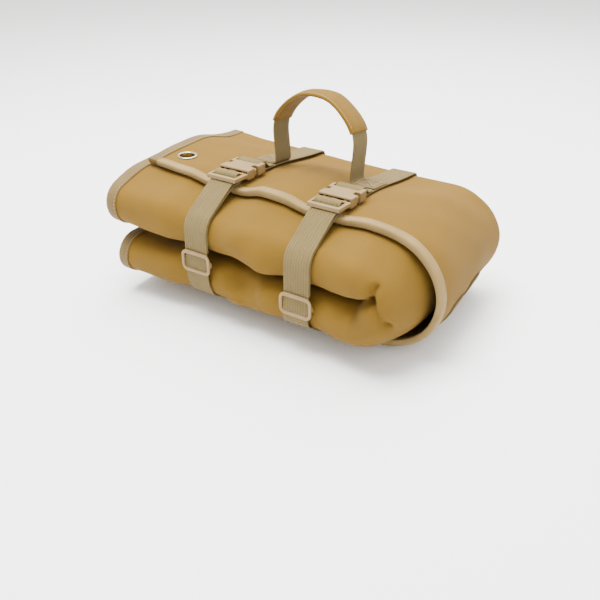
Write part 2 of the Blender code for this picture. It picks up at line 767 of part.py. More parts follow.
def make_strap(side, place):
    """One strap with its buckle and slider, laid round the bundle's outline at this place along the roll."""
    hull = strap_section(place)
    skin = grown(hull, STRAP_OFFSET)
    over = grown(hull, STRAP_OFFSET + STRAND_PITCH)
    front = min(p.x for p in hull)
    contact, forwards = outline_at(hull, front + BUCKLE_CENTRE)
    outwards = Vector((forwards.y, -forwards.x))
    axis_height = FIT_GAP + 2 * STRAND_PITCH + PLUG_HALF_HEIGHT
    back_end = contact + outwards * axis_height - forwards * (PLUG_START + PLUG_LENGTH) / 2
    buckle = frame_matrix((place, back_end), forwards)
    lean = math.degrees(math.atan2(forwards.y, forwards.x))

    def on_buckle(u, n):
        return back_end + forwards * u + outwards * n

    low = STRAP_OFFSET - axis_height

    # from the housing's bar over the top, down the back, underneath and up to the slider
    outer = front - STRAP_OFFSET - STRAND_PITCH - FIT_GAP
    inner = outer + STRAND_PITCH
    slider_place = Vector((outer, MIDDLE_HEIGHT + SLIDER_RISES[side]))
    low_end = slider_place + Vector((0, SLIDER_TRAVEL[0] - SLIDER_HEIGHT / 2))
    high_end = slider_place + Vector((0, SLIDER_HEIGHT / 2 + FIT_GAP))
    bar = on_buckle(BAR / 2, 0)
    wrap = arc(bar, WRAP_RADIUS, lean - 90, lean + 90, 6)
    lay = taut_run(skin, on_buckle(-WRAP_RADIUS - 3 * BAR, low + FIT_GAP / 2), low_end)
    doubled = [on_buckle(BAR / 2 - u, low + STRAND_PITCH) for u in (STRAP_TURN_BACK, WRAP_RADIUS + 3 * BAR)]
    turn_back = doubled + [on_buckle(-BAR, WRAP_RADIUS)]
    strap_band(f"{side}_strap", turn_back + wrap + lay + [high_end], place)

    # from the slider up over the plug's cross bar, and back down behind itself to the slider's middle bar
    cross = on_buckle(CROSS_BAR + BAR / 2, 0)
    front_edge = PLUG_START + PLUG_LENGTH
    start = high_end + Vector((0, FIT_GAP))
    under_front = on_buckle(front_edge - BAR / 2, low + STRAND_PITCH)
    up = taut_run(over, start, under_front)
    rise = [on_buckle(front_edge - BAR - 2 * FIT_GAP, low + STRAND_PITCH)]
    round_bar = arc(cross, WRAP_RADIUS, lean, lean - 180, 6)
    under_rear = on_buckle(CROSS_BAR + BAR / 2 - WRAP_RADIUS + WEBBING_THICKNESS, low)
    end = Vector((inner, slider_place.y + SLIDER_TRAVEL[1] + SLIDER_BAR))
    down = list(reversed(taut_run(skin, end, under_rear)))
    strap_band(f"{side}_strap_end", up + rise + round_bar + down, place)

    joint = joint_empty(f"{side}_buckle_release", buckle @ Vector((PLUG_START, 0, 0)))
    make_receptacle(side, buckle)
    make_plug(side, buckle, joint)
    joint_line(f"{side}_buckle_release", joint.location, Vector((0, forwards.x, forwards.y)))
    for name, sign in (("inner", 1), ("outer", -1)):
        root = Vector((PLUG_START - FIT_GAP, sign * (CAVITY_HALF - FIT_GAP - 0.0047), 0))
        arm_joint = joint_empty(f"{side}_{name}_arm_squeeze", buckle @ root, joint)
        make_arm(f"{side}_plug_arm_{name}", sign, buckle, arm_joint)
        joint_line(arm_joint.name, buckle @ root, Vector((0, outwards.x, outwards.y)))
    slider_joint = joint_empty(f"{side}_slider_slide", (place, slider_place.x, slider_place.y))
    make_slider(side, frame_matrix((place, slider_place), Vector((0, -1))), slider_joint)
    joint_line(slider_joint.name, slider_joint.location, Vector((0, 0, 1)))


# ---------------------------------------------------------------- carry handle, in the (x, z) plane


def strap_top(place):
    """The top of the strap under the handle's foot."""
    hull = strap_section(place)
    front = min(p.x for p in hull)
    contact, _ = outline_at(hull, front + HANDLE_PLACE)
    return Vector((place, contact.y + FIT_GAP + WEBBING_THICKNESS)), contact.x


def handle_line(left, right):
    """From one foot up a leg, over the arch and down to the other foot."""
    foot_rise = FIT_GAP + WEBBING_THICKNESS / 2
    ends = []
    for foot, inwards in ((left, 1), (right, -1)):
        level = foot.y + foot_rise
        bend = Vector((foot.x + inwards * (HALF_WEBBING - HANDLE_BEND), level + HANDLE_BEND))
        turn = (-90, 0) if inwards > 0 else (270, 180)
        tab = Vector((foot.x - inwards * (HALF_WEBBING - 2 * FIT_GAP), level))
        ends.append([tab] + arc(bend, HANDLE_BEND, *turn, FOLD_STEPS))
    low, high = ends[0][-1], ends[1][-1]
    centre = Vector(((low.x + high.x) / 2, (left.y + right.y) / 2 + HANDLE_LEG))
    half_span, rise = (high.x - low.x) / 2 + HANDLE_SPREAD, HANDLE_RISE - HANDLE_LEG
    angles = [math.pi * (1 - i / HANDLE_STEPS) for i in range(HANDLE_STEPS + 1)]
    arch = [centre + Vector((half_span * math.cos(a), rise * math.sin(a))) for a in angles]
    return ends[0] + arch + list(reversed(ends[1])), centre


def make_handle():
    """The webbing loop, and the sewn sleeve that is its grip."""
    (left, place), (right, _) = (strap_top(p) for p in STRAP_PLACES)
    line, centre = handle_line(left, right)
    edges = (place - HALF_WEBBING, place + HALF_WEBBING)
    band("handle_webbing", line, edges, lambda p, y: (p.x, y, p.y))

    pivot = Vector((centre.x, place, (left.y + right.y) / 2))
    joint = joint_empty("handle_swing", pivot)
    joint_line("handle_swing", pivot, Vector((1, 0, 0)))
    line = thinned(line)
    stations = [(p, m) for p, m in zip(line, miters(line)) if p.y >= pivot.z + GRIP_START_RISE]
    clear = WEBBING_THICKNESS / 2 + FIT_GAP
    sizes = ((GRIP_WIDTH / 2, GRIP_THICKNESS / 2), (HALF_WEBBING + FIT_GAP, clear))
    bm = bmesh.new()
    tubes = []
    for half_width, half_thickness in sizes:
        corners = ((-1, -1), (-1, 1), (1, 1), (1, -1))
        tubes.append(
            [
                [
                    bm.verts.new(
                        (p.x + m.x * half_thickness * n, place + half_width * v, p.y + m.y * half_thickness * n)
                    )
                    for v, n in corners
                ]
                for p, m in stations
            ]
        )
    for tube in tubes:
        for near, far in zip(tube, tube[1:]):
            for i in range(4):
                after = (i + 1) % 4
                bm.faces.new((near[i], near[after], far[after], far[i]))
    for end in (0, -1):
        outer, inner = tubes[0][end], tubes[1][end]
        for i in range(4):
            after = (i + 1) % 4
            bm.faces.new((outer[i], outer[after], inner[after], inner[i]))
    add_object("handle_grip", bm, CANVAS, joint)


make_panels()
for eyelet_name, eyelet_s, eyelet_w in eyelet_places():
    make_eyelet(eyelet_name, eyelet_s, eyelet_w)
make_bindings()
make_pockets()
make_ladders()
for strap_side, strap_place in zip(("left", "right"), STRAP_PLACES):
    make_strap(strap_side, strap_place)
make_handle()


def set_origin():
    """Moves the bundle so that the origin is under its middle, on the surface that it lies on."""
    bpy.context.view_layer.update()
    graph = bpy.context.evaluated_depsgraph_get()
    corners = [
        obj.matrix_world @ Vector(corner)
        for obj in bpy.data.objects
        if obj.type == "MESH" and not obj.hide_render
        for corner in obj.evaluated_get(graph).bound_box
    ]
    low, high = ([pick(c[axis] for c in corners) for axis in range(3)] for pick in (min, max))
    ROOT.location = (-(low[0] + high[0]) / 2, -(low[1] + high[1]) / 2, -low[2])
    for name, place, axis in JOINTS:
        moved = place + ROOT.location
        numbers = ", ".join(f"{value:.5f}" for value in (*moved, *axis))
        print(f"joint {name}: position and axis {numbers}")
    print(f"depth {DEPTH:.5f}, straight {STRAIGHT:.5f}, middle height {MIDDLE_HEIGHT + ROOT.location.z:.5f}")


set_origin()
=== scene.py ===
# %% [markdown]
# # A padded roll-up mat, rolled, folded and strapped
#
# The mat is 1.8 m of padded canvas in five panels. It is rolled up from one end, folded in half across the
# roll, and held by two webbing straps with side-release buckles, sliders and a carry handle.
#
# The CAD model gives every solid its place. This script gives each soft piece its real surface, and each
# hard piece its finish. Sizes are in metres, X runs along the roll towards its folded end, and the front
# is -Y.

# %% Load the frame
import json
import math

import bmesh
import bpy
import numpy as np
from mathutils import Matrix, Vector


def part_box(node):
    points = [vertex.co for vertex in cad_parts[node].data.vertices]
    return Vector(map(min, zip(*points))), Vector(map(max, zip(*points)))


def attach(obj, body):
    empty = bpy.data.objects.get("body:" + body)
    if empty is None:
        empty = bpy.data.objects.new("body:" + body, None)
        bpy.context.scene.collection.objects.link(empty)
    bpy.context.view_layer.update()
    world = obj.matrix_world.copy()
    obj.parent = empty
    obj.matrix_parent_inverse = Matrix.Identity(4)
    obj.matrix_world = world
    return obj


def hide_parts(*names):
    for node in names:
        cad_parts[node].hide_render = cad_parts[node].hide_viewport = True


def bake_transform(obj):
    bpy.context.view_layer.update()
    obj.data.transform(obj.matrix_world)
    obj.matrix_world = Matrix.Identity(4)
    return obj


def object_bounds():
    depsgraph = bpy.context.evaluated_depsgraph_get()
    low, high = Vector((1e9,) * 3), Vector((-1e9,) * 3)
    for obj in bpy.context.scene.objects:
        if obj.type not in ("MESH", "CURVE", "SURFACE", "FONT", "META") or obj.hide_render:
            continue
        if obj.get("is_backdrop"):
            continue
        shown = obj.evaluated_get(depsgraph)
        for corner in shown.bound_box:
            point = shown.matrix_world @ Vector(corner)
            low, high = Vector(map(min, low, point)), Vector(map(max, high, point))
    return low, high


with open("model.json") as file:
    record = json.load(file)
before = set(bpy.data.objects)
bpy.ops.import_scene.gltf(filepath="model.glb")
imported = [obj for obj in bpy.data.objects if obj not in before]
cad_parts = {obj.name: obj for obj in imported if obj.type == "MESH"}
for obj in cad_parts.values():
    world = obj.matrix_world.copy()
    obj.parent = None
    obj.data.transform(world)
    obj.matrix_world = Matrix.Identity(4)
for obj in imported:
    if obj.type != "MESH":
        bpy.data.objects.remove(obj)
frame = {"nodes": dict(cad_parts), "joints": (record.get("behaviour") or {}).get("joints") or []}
CAD_BOX = [list(corner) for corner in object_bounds()]
print("CAD box", [[round(value, 4) for value in corner] for corner in CAD_BOX])

# %% [markdown]
# ## Camera, floor and light
#
# The camera comes first, so that every later piece can be judged from the right place. A long lens far
# away would flatten the bundle. A short one close by shows the near corner large, as it looks to a person
# at a table, so the lens is about 42 mm on a full frame. The floor is a plain pale sheet, and three soft
# area lights with a pale world leave only a faint shadow.

# %% Camera, floor and light
CAMERA_AZIMUTH, CAMERA_ELEVATION = 33.3, 30.0  # degrees
CAMERA_DISTANCE = 0.728
CAMERA_LENS = 42.4
CAMERA_TARGET = Vector((-0.0105, 0.0, -0.0154))


def direction_from(azimuth, elevation):
    a, e = math.radians(azimuth), math.radians(elevation)
    return Vector((math.sin(a) * math.cos(e), -math.cos(a) * math.cos(e), math.sin(e)))


LIGHT_AIM_HEIGHT = 0.05


def aimed(thing, place, target):
    thing.location = place
    thing.rotation_euler = (target - place).to_track_quat("-Z", "Y").to_euler()
    bpy.context.scene.collection.objects.link(thing)
    return thing


camera_data = bpy.data.cameras.new("camera")
camera_data.lens = CAMERA_LENS
camera_data.sensor_width = 36.0
camera_place = CAMERA_TARGET + direction_from(CAMERA_AZIMUTH, CAMERA_ELEVATION) * CAMERA_DISTANCE
bpy.context.scene.camera = aimed(bpy.data.objects.new("camera", camera_data), camera_place, CAMERA_TARGET)

LIGHTS = {  # azimuth, elevation, distance, size, watts
    "key": (-60, 80, 1.5, 0.9, 72.0),
    "fill": (75, 40, 1.8, 1.4, 8.0),
    "back": (185, 55, 1.6, 1.2, 34.0),
}
for light_name, (azimuth, elevation, distance, size, watts) in LIGHTS.items():
    lamp = bpy.data.lights.new(light_name, "AREA")
    lamp.size, lamp.energy = size, watts
    light = bpy.data.objects.new(light_name, lamp)
    aimed(light, direction_from(azimuth, elevation) * distance, Vector((0, 0, LIGHT_AIM_HEIGHT)))

world = bpy.data.worlds.new("studio")
world.use_nodes = True
world.node_tree.nodes["Background"].inputs["Color"].default_value = (1.0, 0.99, 0.97, 1.0)
world.node_tree.nodes["Background"].inputs["Strength"].default_value = 1.7
bpy.context.scene.world = world
print("camera at", [round(value, 3) for value in camera_place])

# %% [markdown]
# ## A short way to write shader maths
#
# A material's pattern is arithmetic on coordinates: stripes, weaves and masks. With one small class that
# wraps a socket, `1 - mask` or `wave * 0.3` adds its Math node by itself, and the formulas below read as
# formulas. Any other node comes from `Finish.node`, which sets its settings first and its sockets after.

# %% Shader maths


class Wire:
    """One output socket, on which Python's operators add Math nodes."""

    def __init__(self, finish, socket):
        self.finish, self.socket = finish, socket

    def math(self, operation, *values):
        return self.finish.node("ShaderNodeMath", {"operation": operation}, dict(enumerate((self,) + values)))

    def __add__(self, other):
        return self.math("ADD", other)

    def __sub__(self, other):
        return self.math("SUBTRACT", other)

    def __mul__(self, other):
        return self.math("MULTIPLY", other)

    def __truediv__(self, other):
        return self.math("DIVIDE", other)

    def __rsub__(self, other):
        return (self * -1.0) + other

    __radd__ = __add__
    __rmul__ = __mul__


class Finish:
    """A material, and the nodes that make its pattern."""

    def __init__(self, name, roughness, metallic=0.0, **constants):
        self.material = bpy.data.materials.new(name)
        self.material.use_nodes = True
        self.tree = self.material.node_tree
        self.shader = self.tree.nodes["Principled BSDF"]
        constants.update({"Roughness": roughness, "Metallic": metallic})
        for socket, value in constants.items():
            self.shader.inputs[socket].default_value = value

    def node(self, kind, settings=None, sockets=None, output=0):
        made = self.tree.nodes.new(kind)
        for name, value in (settings or {}).items():
            if name == "stops":
                ramp = made.color_ramp
                for element, (place, colour) in zip((ramp.elements[0], ramp.elements[1]), value):
                    element.position, element.color = place, (*colour, 1.0)
            else:
                setattr(made, name, value)
        for key, value in (sockets or {}).items():
            if isinstance(value, Wire):
                self.tree.links.new(value.socket, made.inputs[key])
            else:
                made.inputs[key].default_value = value
        return Wire(self, made.outputs[output])

    def place(self, source):
        """The x, y and z of the piece's own UV map or Object coordinates."""
        if source == "UV":
            where = self.node("ShaderNodeUVMap", {"uv_map": "cloth"})
        else:
            where = self.node("ShaderNodeTexCoord", output="Object")
        return where, [self.node("ShaderNodeSeparateXYZ", None, {0: where}, output) for output in range(3)]

    def noise(self, where, scale, detail=3.0):
        return self.node("ShaderNodeTexNoise", None, {"Vector": where, "Scale": scale, "Detail": detail})

    def mixed(self, factor, first, second):
        """Two colours mixed by a factor."""
        settings = {"data_type": "RGBA"}
        sockets = {0: factor, 6: colour4(first), 7: colour4(second)}
        return self.node("ShaderNodeMix", settings, sockets, output=2)

    def feed(self, socket, wire):
        self.tree.links.new(wire.socket, self.shader.inputs[socket])

    def bump(self, height, distance, strength=1.0):
        sizes = {"Height": height, "Distance": distance, "Strength": strength}
        self.feed("Normal", self.node("ShaderNodeBump", None, sizes))


def colour4(colour):
    return colour if isinstance(colour, Wire) else (*colour, 1.0)


def srgb(red, green, blue):
    """A colour as it looks, 0 to 255, to the linear one that a shader works in."""
    return tuple(
        (c / 255 / 12.92) if c < 11 else ((c / 255 + 0.055) / 1.055) ** 2.4 for c in (red, green, blue)
    )


print("shader maths is ready")

# %% [markdown]
# ## Canvas and pocket cloth
#
# The mat is oxford canvas: thick yarns that cross over and under, about 1.1 yarns in a millimetre, with a
# dull sheen. An image of cloth would repeat and blur, and a pattern in space would slide over the folds.
# So the weave is worked out from the piece's own UV map, which is the flat mat in metres: two waves at
# right angles, one for the yarns that run along and one for those across. Slow noise gives the cloth its
# faded and soiled areas.

# %% Canvas and pocket cloth
YARN_PITCH = 0.0009


def woven_finish(name, light, dark, pitch, roughness):
    gloss = {"Sheen Weight": 0.02, "Sheen Roughness": 0.5, "Specular IOR Level": 0.12}
    cloth = Finish(name, roughness, **gloss)
    where, (along, across, _) = cloth.place("UV")
    warp = (along * (2 * math.pi / pitch)).math("SINE")
    weft = (across * (2 * math.pi / pitch)).math("SINE")
    weave = warp * weft * 0.5 + 0.5
    slubs = cloth.noise(where, 900.0, 2.0)
    fade = cloth.noise(where, 9.0, 4.0)
    mottle = cloth.noise(where, 60.0, 3.0)
    shade = weave * 0.22 + slubs * 0.2 + fade * 0.5 + mottle * 0.25 - 0.1
    cloth.feed("Base Color", cloth.mixed(shade, dark, light))
    cloth.feed("Roughness", mottle * 0.15 + (roughness - 0.07))
    cloth.bump(weave + slubs * 0.5, 0.00025, 0.8)
    return cloth.material


CANVAS = woven_finish("tan canvas", srgb(122, 92, 30), srgb(92, 67, 15), YARN_PITCH, 0.82)
POCKET_CLOTH = woven_finish(
    "taupe pocket cloth", srgb(124, 104, 72), srgb(92, 76, 50), YARN_PITCH * 0.8, 0.88
)
print("woven finishes:", CANVAS.name, "and", POCKET_CLOTH.name)

# %% [markdown]
# ## Webbing, binding tape and thread
#
# Strap webbing is a herringbone: slanting ribs that change direction in narrow columns. Folding the
# distance across the strap into a zigzag, and adding it to the distance along, turns plain stripes into
# that pattern. Binding tape is grosgrain, whose fine ribs run straight across it. Thread is smooth and a
# little glossier.

# %% Webbing, binding tape and thread
HERRINGBONE_COLUMN = 0.0026
HERRINGBONE_PITCH = 0.0017
TAPE_RIB = 0.0012


def herringbone_finish(name, light, dark):
    webbing = Finish(name, 0.8, **{"Sheen Weight": 0.02, "Specular IOR Level": 0.15})
    where, (along, across, _) = webbing.place("UV")
    zigzag = (across / HERRINGBONE_COLUMN).math("PINGPONG", 1.0) * HERRINGBONE_COLUMN
    rib = ((along + zigzag) * (2 * math.pi / HERRINGBONE_PITCH)).math("SINE") * 0.5 + 0.5
    column = (across * (math.pi / HERRINGBONE_COLUMN)).math("SINE").math("ABSOLUTE")
    wear = webbing.noise(where, 35.0, 4.0)
    fibres = webbing.noise(where, 1500.0, 2.0)
    shade = rib * 0.55 + column * 0.2 + wear * 0.3 + fibres * 0.2 - 0.12
    webbing.feed("Base Color", webbing.mixed(shade, dark, light))
    webbing.bump(rib * 0.8 + column * 0.6 + fibres * 0.2, 0.0005, 1.0)
    return webbing.material


def ribbed_finish(name, light, dark):
    tape = Finish(name, 0.75, **{"Sheen Weight": 0.03, "Specular IOR Level": 0.2})
    where, (along, _, _) = tape.place("UV")
    rib = (along * (2 * math.pi / TAPE_RIB)).math("SINE") * 0.5 + 0.5
    soil = tape.noise(where, 40.0, 4.0)
    tape.feed("Base Color", tape.mixed(rib * 0.35 + soil * 0.7 - 0.05, dark, light))
    tape.bump(rib + soil * 0.3, 0.0002, 0.8)
    return tape.material


def thread_finish(name, light, dark):
    thread = Finish(name, 0.55, **{"Sheen Weight": 0.3})
    where, _ = thread.place("Object")
    thread.feed("Base Color", thread.mixed(thread.noise(where, 400.0), dark, light))
    return thread.material


WEBBING = herringbone_finish("herringbone webbing", srgb(136, 118, 74), srgb(62, 48, 24))
TAPE = ribbed_finish("cream binding tape", srgb(156, 132, 84), srgb(104, 82, 42))
SIDE_TAPE = ribbed_finish("taupe binding tape", srgb(120, 100, 60), srgb(80, 63, 32))
THREAD = thread_finish("sewing thread", srgb(164, 134, 78), srgb(118, 90, 44))
print("ribs of the tape every", TAPE_RIB * 1000, "mm")

# %% [markdown]
# ## Moulded plastic and eyelet metal
#
# The buckles and sliders are acetal, moulded in the webbing's colour, with a fine spark-eroded grain and
# slightly paler rubbed areas. The eyelets are plated brass with a worn, streaky sheen. Both finishes read
# Object coordinates, because these pieces have no cloth that a pattern should follow.

# %% Moulded plastic and eyelet metal


def moulded_finish(name, light, dark):
    plastic = Finish(name, 0.42, **{"Specular IOR Level": 0.45, "Coat Roughness": 0.4})
    where, _ = plastic.place("Object")
    flow = plastic.noise(where, 90.0, 2.0)
    grain = plastic.noise(where, 2200.0, 3.0)
    plastic.feed("Base Color", plastic.mixed(flow * 0.8 + grain * 0.25, dark, light))
    plastic.feed("Roughness", grain * 0.25 + 0.32)
    plastic.bump(grain, 0.00006, 0.6)
    return plastic.material


def plated_finish(name, light, dark):
    metal = Finish(name, 0.3, 1.0)
    where, _ = metal.place("Object")
    wear = metal.noise(where, 220.0, 5.0)
    metal.feed("Base Color", metal.mixed(wear, dark, light))
    metal.feed("Roughness", wear * 0.35 + 0.14)
    metal.bump(wear, 0.00008, 0.5)
    return metal.material


PLASTIC = moulded_finish("moulded acetal", srgb(134, 110, 68), srgb(108, 82, 42))
METAL = plated_finish("plated eyelet", srgb(214, 208, 188), srgb(150, 138, 104))
print("hard finishes:", PLASTIC.name, "and", METAL.name)

# %% [markdown]
# ## The floor
#
# Only a surface to stand on, wide enough that its edge is never seen. It belongs to the studio and not to
# the object, and is marked so.

# %% The floor
FLOOR_HALF = 4.0
floor_mesh = bpy.data.meshes.new("floor")
floor_corners = [(x * FLOOR_HALF, y * FLOOR_HALF, -0.0002) for x, y in ((-1, -1), (1, -1), (1, 1), (-1, 1))]
floor_mesh.from_pydata(floor_corners, [], [(0, 1, 2, 3)])
floor = bpy.data.objects.new("floor", floor_mesh)
bpy.context.scene.collection.objects.link(floor)
FLOOR_FINISH = Finish("studio floor", 0.9)
floor_place, _ = FLOOR_FINISH.place("Object")
floor_shade = FLOOR_FINISH.noise(floor_place, 2.0)
FLOOR_FINISH.feed("Base Color", FLOOR_FINISH.mixed(floor_shade, (0.93,) * 3, (0.95,) * 3))
floor_mesh.materials.append(FLOOR_FINISH.material)
floor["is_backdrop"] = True
print("floor", 2 * FLOOR_HALF, "m wide")

# %% [markdown]
# ## How the flat mat folds
#
# Everything that is sewn to the mat follows it, so one function takes any flat place (s along the mat, w
# across it, n out of its outer face) to its place in the bundle. The mat could be draped by simulation,
# but 1.8 m of cloth in four tight turns would tangle, and its layers must match the solids that the frame
# holds. A rule is exact: in section, each turn is made of the same arcs, moved in by one layer, and the
# finished roll is bent in half.

# %% The roll's section
MAT_LENGTH, MAT_WIDTH, MAT_THICKNESS = 1.800, 0.686, 0.0026
HALF_WIDTH, HALF_THICKNESS = MAT_WIDTH / 2, MAT_THICKNESS / 2
FRONT_RADIUS, SHOULDER_RADIUS, SHOULDER_DEGREES = 0.0176, 0.150, 22.0
CLEFT_GAP = 0.004
LAYER_PITCH = 0.0049
TURNS = 4
FLAP_SETBACK, TAIL_SETBACK = 0.040, 0.088
FLAP_PITCH, FLAP_STAND_OFF = 0.0062, 0.007
END_SPLAY = 0.009
END_STAGGERS = {"upper": 0.013, "lower": 0.006}
FIT_GAP, TAPE_THICKNESS, TAPE_WIDTH = 0.0003, 0.0007, 0.011
TAPE_OUT = HALF_THICKNESS + FIT_GAP + TAPE_THICKNESS

SHOULDER = math.radians(SHOULDER_DEGREES)
LAYER_RISE = FRONT_RADIUS * (1 + math.cos(SHOULDER)) + SHOULDER_RADIUS * (1 - math.cos(SHOULDER))
ROLL_THICKNESS = LAYER_RISE + MAT_THICKNESS
BEND_RADIUS = CLEFT_GAP / 2 + ROLL_THICKNESS + FLAP_PITCH + FLAP_STAND_OFF / 2
STRAIGHT = HALF_WIDTH - math.pi / 2 * BEND_RADIUS
HALF_HEIGHT = CLEFT_GAP / 2 + ROLL_THICKNESS + FLAP_PITCH

# the frame's own solids say where the roll's front, back, open end and lowest layer are
near_low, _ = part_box("near_pocket_panel")
flap_low, flap_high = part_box("flap_panel")
FRONT_Y = near_low[1]
DEPTH = flap_high[1] - near_low[1] - MAT_THICKNESS
OPEN_END_X = near_low[0] + END_STAGGERS["upper"]
MIDDLE_Z = flap_low[2] + HALF_HEIGHT


def arc(centre, radius, start, end, step=3.0):
    angles = np.radians(np.linspace(start, end, max(2, int(abs(end - start) / step) + 1)))
    return np.array(centre) + radius * np.stack([np.cos(angles), np.sin(angles)], 1)


def section_line():
    """The mat's middle line in (y, q), as four turns of the same arcs."""
    front = np.array((FRONT_RADIUS, FRONT_RADIUS))
    shoulder = front + np.array((math.sin(SHOULDER), -math.cos(SHOULDER))) * (SHOULDER_RADIUS - FRONT_RADIUS)
    start = 90 + math.degrees(math.asin((shoulder[0] - FLAP_SETBACK) / (SHOULDER_RADIUS + FLAP_PITCH)))
    fold = FLAP_PITCH / 2
    parts = [
        arc(shoulder, SHOULDER_RADIUS + FLAP_PITCH, start, 90),
        arc((DEPTH - fold, LAYER_RISE + fold), fold, 90, -90, 15.0),
    ]
    for turn in range(TURNS):
        inset = turn * LAYER_PITCH
        radius = (LAYER_RISE - LAYER_PITCH) / 2 - inset
        parts.append(arc(shoulder, SHOULDER_RADIUS - inset, 90, 90 + SHOULDER_DEGREES))
        parts.append(arc(front, FRONT_RADIUS - inset, 90 + SHOULDER_DEGREES, 270)[1:])
        parts.append(arc((DEPTH - (LAYER_RISE - LAYER_PITCH) / 2, inset + radius), radius, -90, 90))
    line = np.concatenate(parts)
    return np.concatenate([line, [(TAIL_SETBACK, line[-1][1])]])


def resampled(line, step):
    """The same line with evenly spaced points, and how far along each one is."""
    reach = np.concatenate([[0.0], np.cumsum(np.linalg.norm(np.diff(line, axis=0), axis=1))])
    even = np.linspace(0.0, reach[-1], int(reach[-1] / step) + 1)
    return np.stack([np.interp(even, reach, line[:, i]) for i in range(line.shape[1])], 1), even


LINE, LINE_REACH = resampled(section_line(), 0.0008)
LINE_REACH = LINE_REACH * (MAT_LENGTH / LINE_REACH[-1])
line_tangents = np.gradient(LINE, axis=0)
line_tangents /= np.linalg.norm(line_tangents, axis=1)[:, None]
LINE_NORMALS = np.stack([-line_tangents[:, 1], line_tangents[:, 0]], 1)
FLAP_LENGTH = float(LINE_REACH[LINE[:, 0].argmax()]) - FLAP_PITCH / 2 * math.pi / 2
print(f"roll {DEPTH:.4f} m deep, flap {FLAP_LENGTH:.4f} m long, middle at {MIDDLE_Z:.4f} m")

# %% [markdown]
# ## How the bundle settles
#
# Packed cloth isn't a ruled surface. It swells between the straps, sinks at the back, dents where the
# turns are loose, and puckers where the roll is bent sharply. Displacing each layer by itself would push
# layers through each other. So all of this is a smooth movement of space: every piece in a place moves
# with it, and nothing can cross. It fades to nothing at the straps, the buckles and the floor, which stay
# where the frame has them.

# %% How the bundle settles
STRAP_XS = [sum(corner[0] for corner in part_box(f"{side}_slider")) / 2 for side in ("left", "right")]
BACK_SAG = 0.010
SWELL_FRONT, SWELL_TOP = 0.0060, 0.0045
STRAP_REACH = 0.0145

DENTS = [  # centre, reach in x, y and z, and movement
    ((-0.030, -0.100, 0.050), (0.026, 0.030, 0.011), (0.0, 0.010, -0.006)),
    ((-0.034, -0.100, 0.071), (0.030, 0.030, 0.012), (0.0, 0.003, 0.006)),
    ((0.018, -0.100, 0.070), (0.020, 0.030, 0.014), (0.0, -0.003, -0.003)),
    ((0.000, -0.090, 0.036), (0.009, 0.030, 0.018), (0.0, 0.004, 0.0)),
    ((0.090, -0.100, 0.062), (0.016, 0.025, 0.014), (0.0, 0.006, -0.002)),
    ((-0.105, -0.080, 0.098), (0.030, 0.030, 0.020), (0.0, -0.003, 0.002)),
    ((-0.100, -0.020, 0.125), (0.035, 0.050, 0.030), (0.0, 0.0, -0.002)),
    ((-0.005, -0.035, 0.125), (0.022, 0.045, 0.030), (0.0, 0.0, 0.002)),
    ((0.110, -0.020, 0.115), (0.030, 0.060, 0.030), (0.0, 0.0, -0.003)),
]
CREASES = [  # from (x, z) to (x, z) on the front of the bend, half width, depth
    ((0.0990, 0.0590), (0.1190, 0.0700), 0.0036, 0.0120),
    ((0.1190, 0.0700), (0.1215, 0.0830), 0.0032, 0.0065),
    ((0.1210, 0.0700), (0.1310, 0.0520), 0.0036, 0.0060),
    ((0.1330, 0.0520), (0.1370, 0.0390), 0.0032, 0.0070),
    ((0.0620, 0.1000), (0.0980, 0.0820), 0.0070, 0.0012),
    ((-0.0150, 0.0820), (0.0160, 0.0960), 0.0060, 0.0010),
    ((0.0020, 0.0480), (0.0140, 0.0220), 0.0060, 0.0022),
    ((-0.0120, 0.0500), (-0.0060, 0.0260), 0.0050, 0.0016),
    ((-0.1250, 0.0880), (-0.0900, 0.0800), 0.0080, 0.0010),
]
WAVES = [  # direction and wavelength in metres, height, phase
    ((0.9, 0.3, 0.4), 0.074, 0.0009, 0.3),
    ((0.5, -0.6, 0.7), 0.051, 0.0007, 1.9),
    ((-0.3, 0.8, 0.6), 0.039, 0.0005, 4.2),
    ((0.8, 0.5, -0.5), 0.029, 0.0004, 2.7),
]


def smooth_step(value):
    value = np.clip(value, 0.0, 1.0)
    return value * value * (3 - 2 * value)


def settle(points):
    """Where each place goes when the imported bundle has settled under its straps."""
    x, y, z = points.T.copy()
    clear = np.ones_like(x)
    for place in STRAP_XS:
        clear *= smooth_step((np.abs(x - place) - STRAP_REACH) / 0.028)
    above_floor = smooth_step((z - 0.004) / 0.020)
    lift = np.clip((z - MIDDLE_Z) / HALF_HEIGHT, 0.0, 1.0)
    frontness = smooth_step((FRONT_Y + 0.050 - y) / 0.050)
    topness = lift**3 * smooth_step((FRONT_Y + 0.190 - y) / 0.080)

    out = np.stack([x, y, z], 1)
    out[:, 1] -= SWELL_FRONT * clear * frontness * above_floor
    out[:, 2] += SWELL_TOP * clear * topness
    out[:, 2] -= BACK_SAG * smooth_step(y / -FRONT_Y) * lift
    for centre, reach, move in DENTS:
        offset = (np.stack([x, y, z], 1) - np.array(centre)) / np.array(reach)
        weight = np.exp(-np.sum(offset**2, axis=1)) * clear * above_floor
        out += weight[:, None] * np.array(move)
    for start, end, half_width, depth in CREASES:
        start, leg = np.array(start), np.array(end) - np.array(start)
        across = np.stack([x, z], 1) - start
        share = np.clip(across @ leg / (leg @ leg), 0.0, 1.0)
        away = np.linalg.norm(across - share[:, None] * leg, axis=1)
        out[:, 1] += depth * np.exp(-((away / half_width) ** 2)) * frontness * clear
    for direction, length, height, phase in WAVES:
        unit = np.array(direction) / np.linalg.norm(direction)
        wave = np.sin(points @ unit * (2 * math.pi / length) + phase) * height * clear * above_floor
        out += wave[:, None] * np.array((0.3, -0.7, 0.7))
    return out


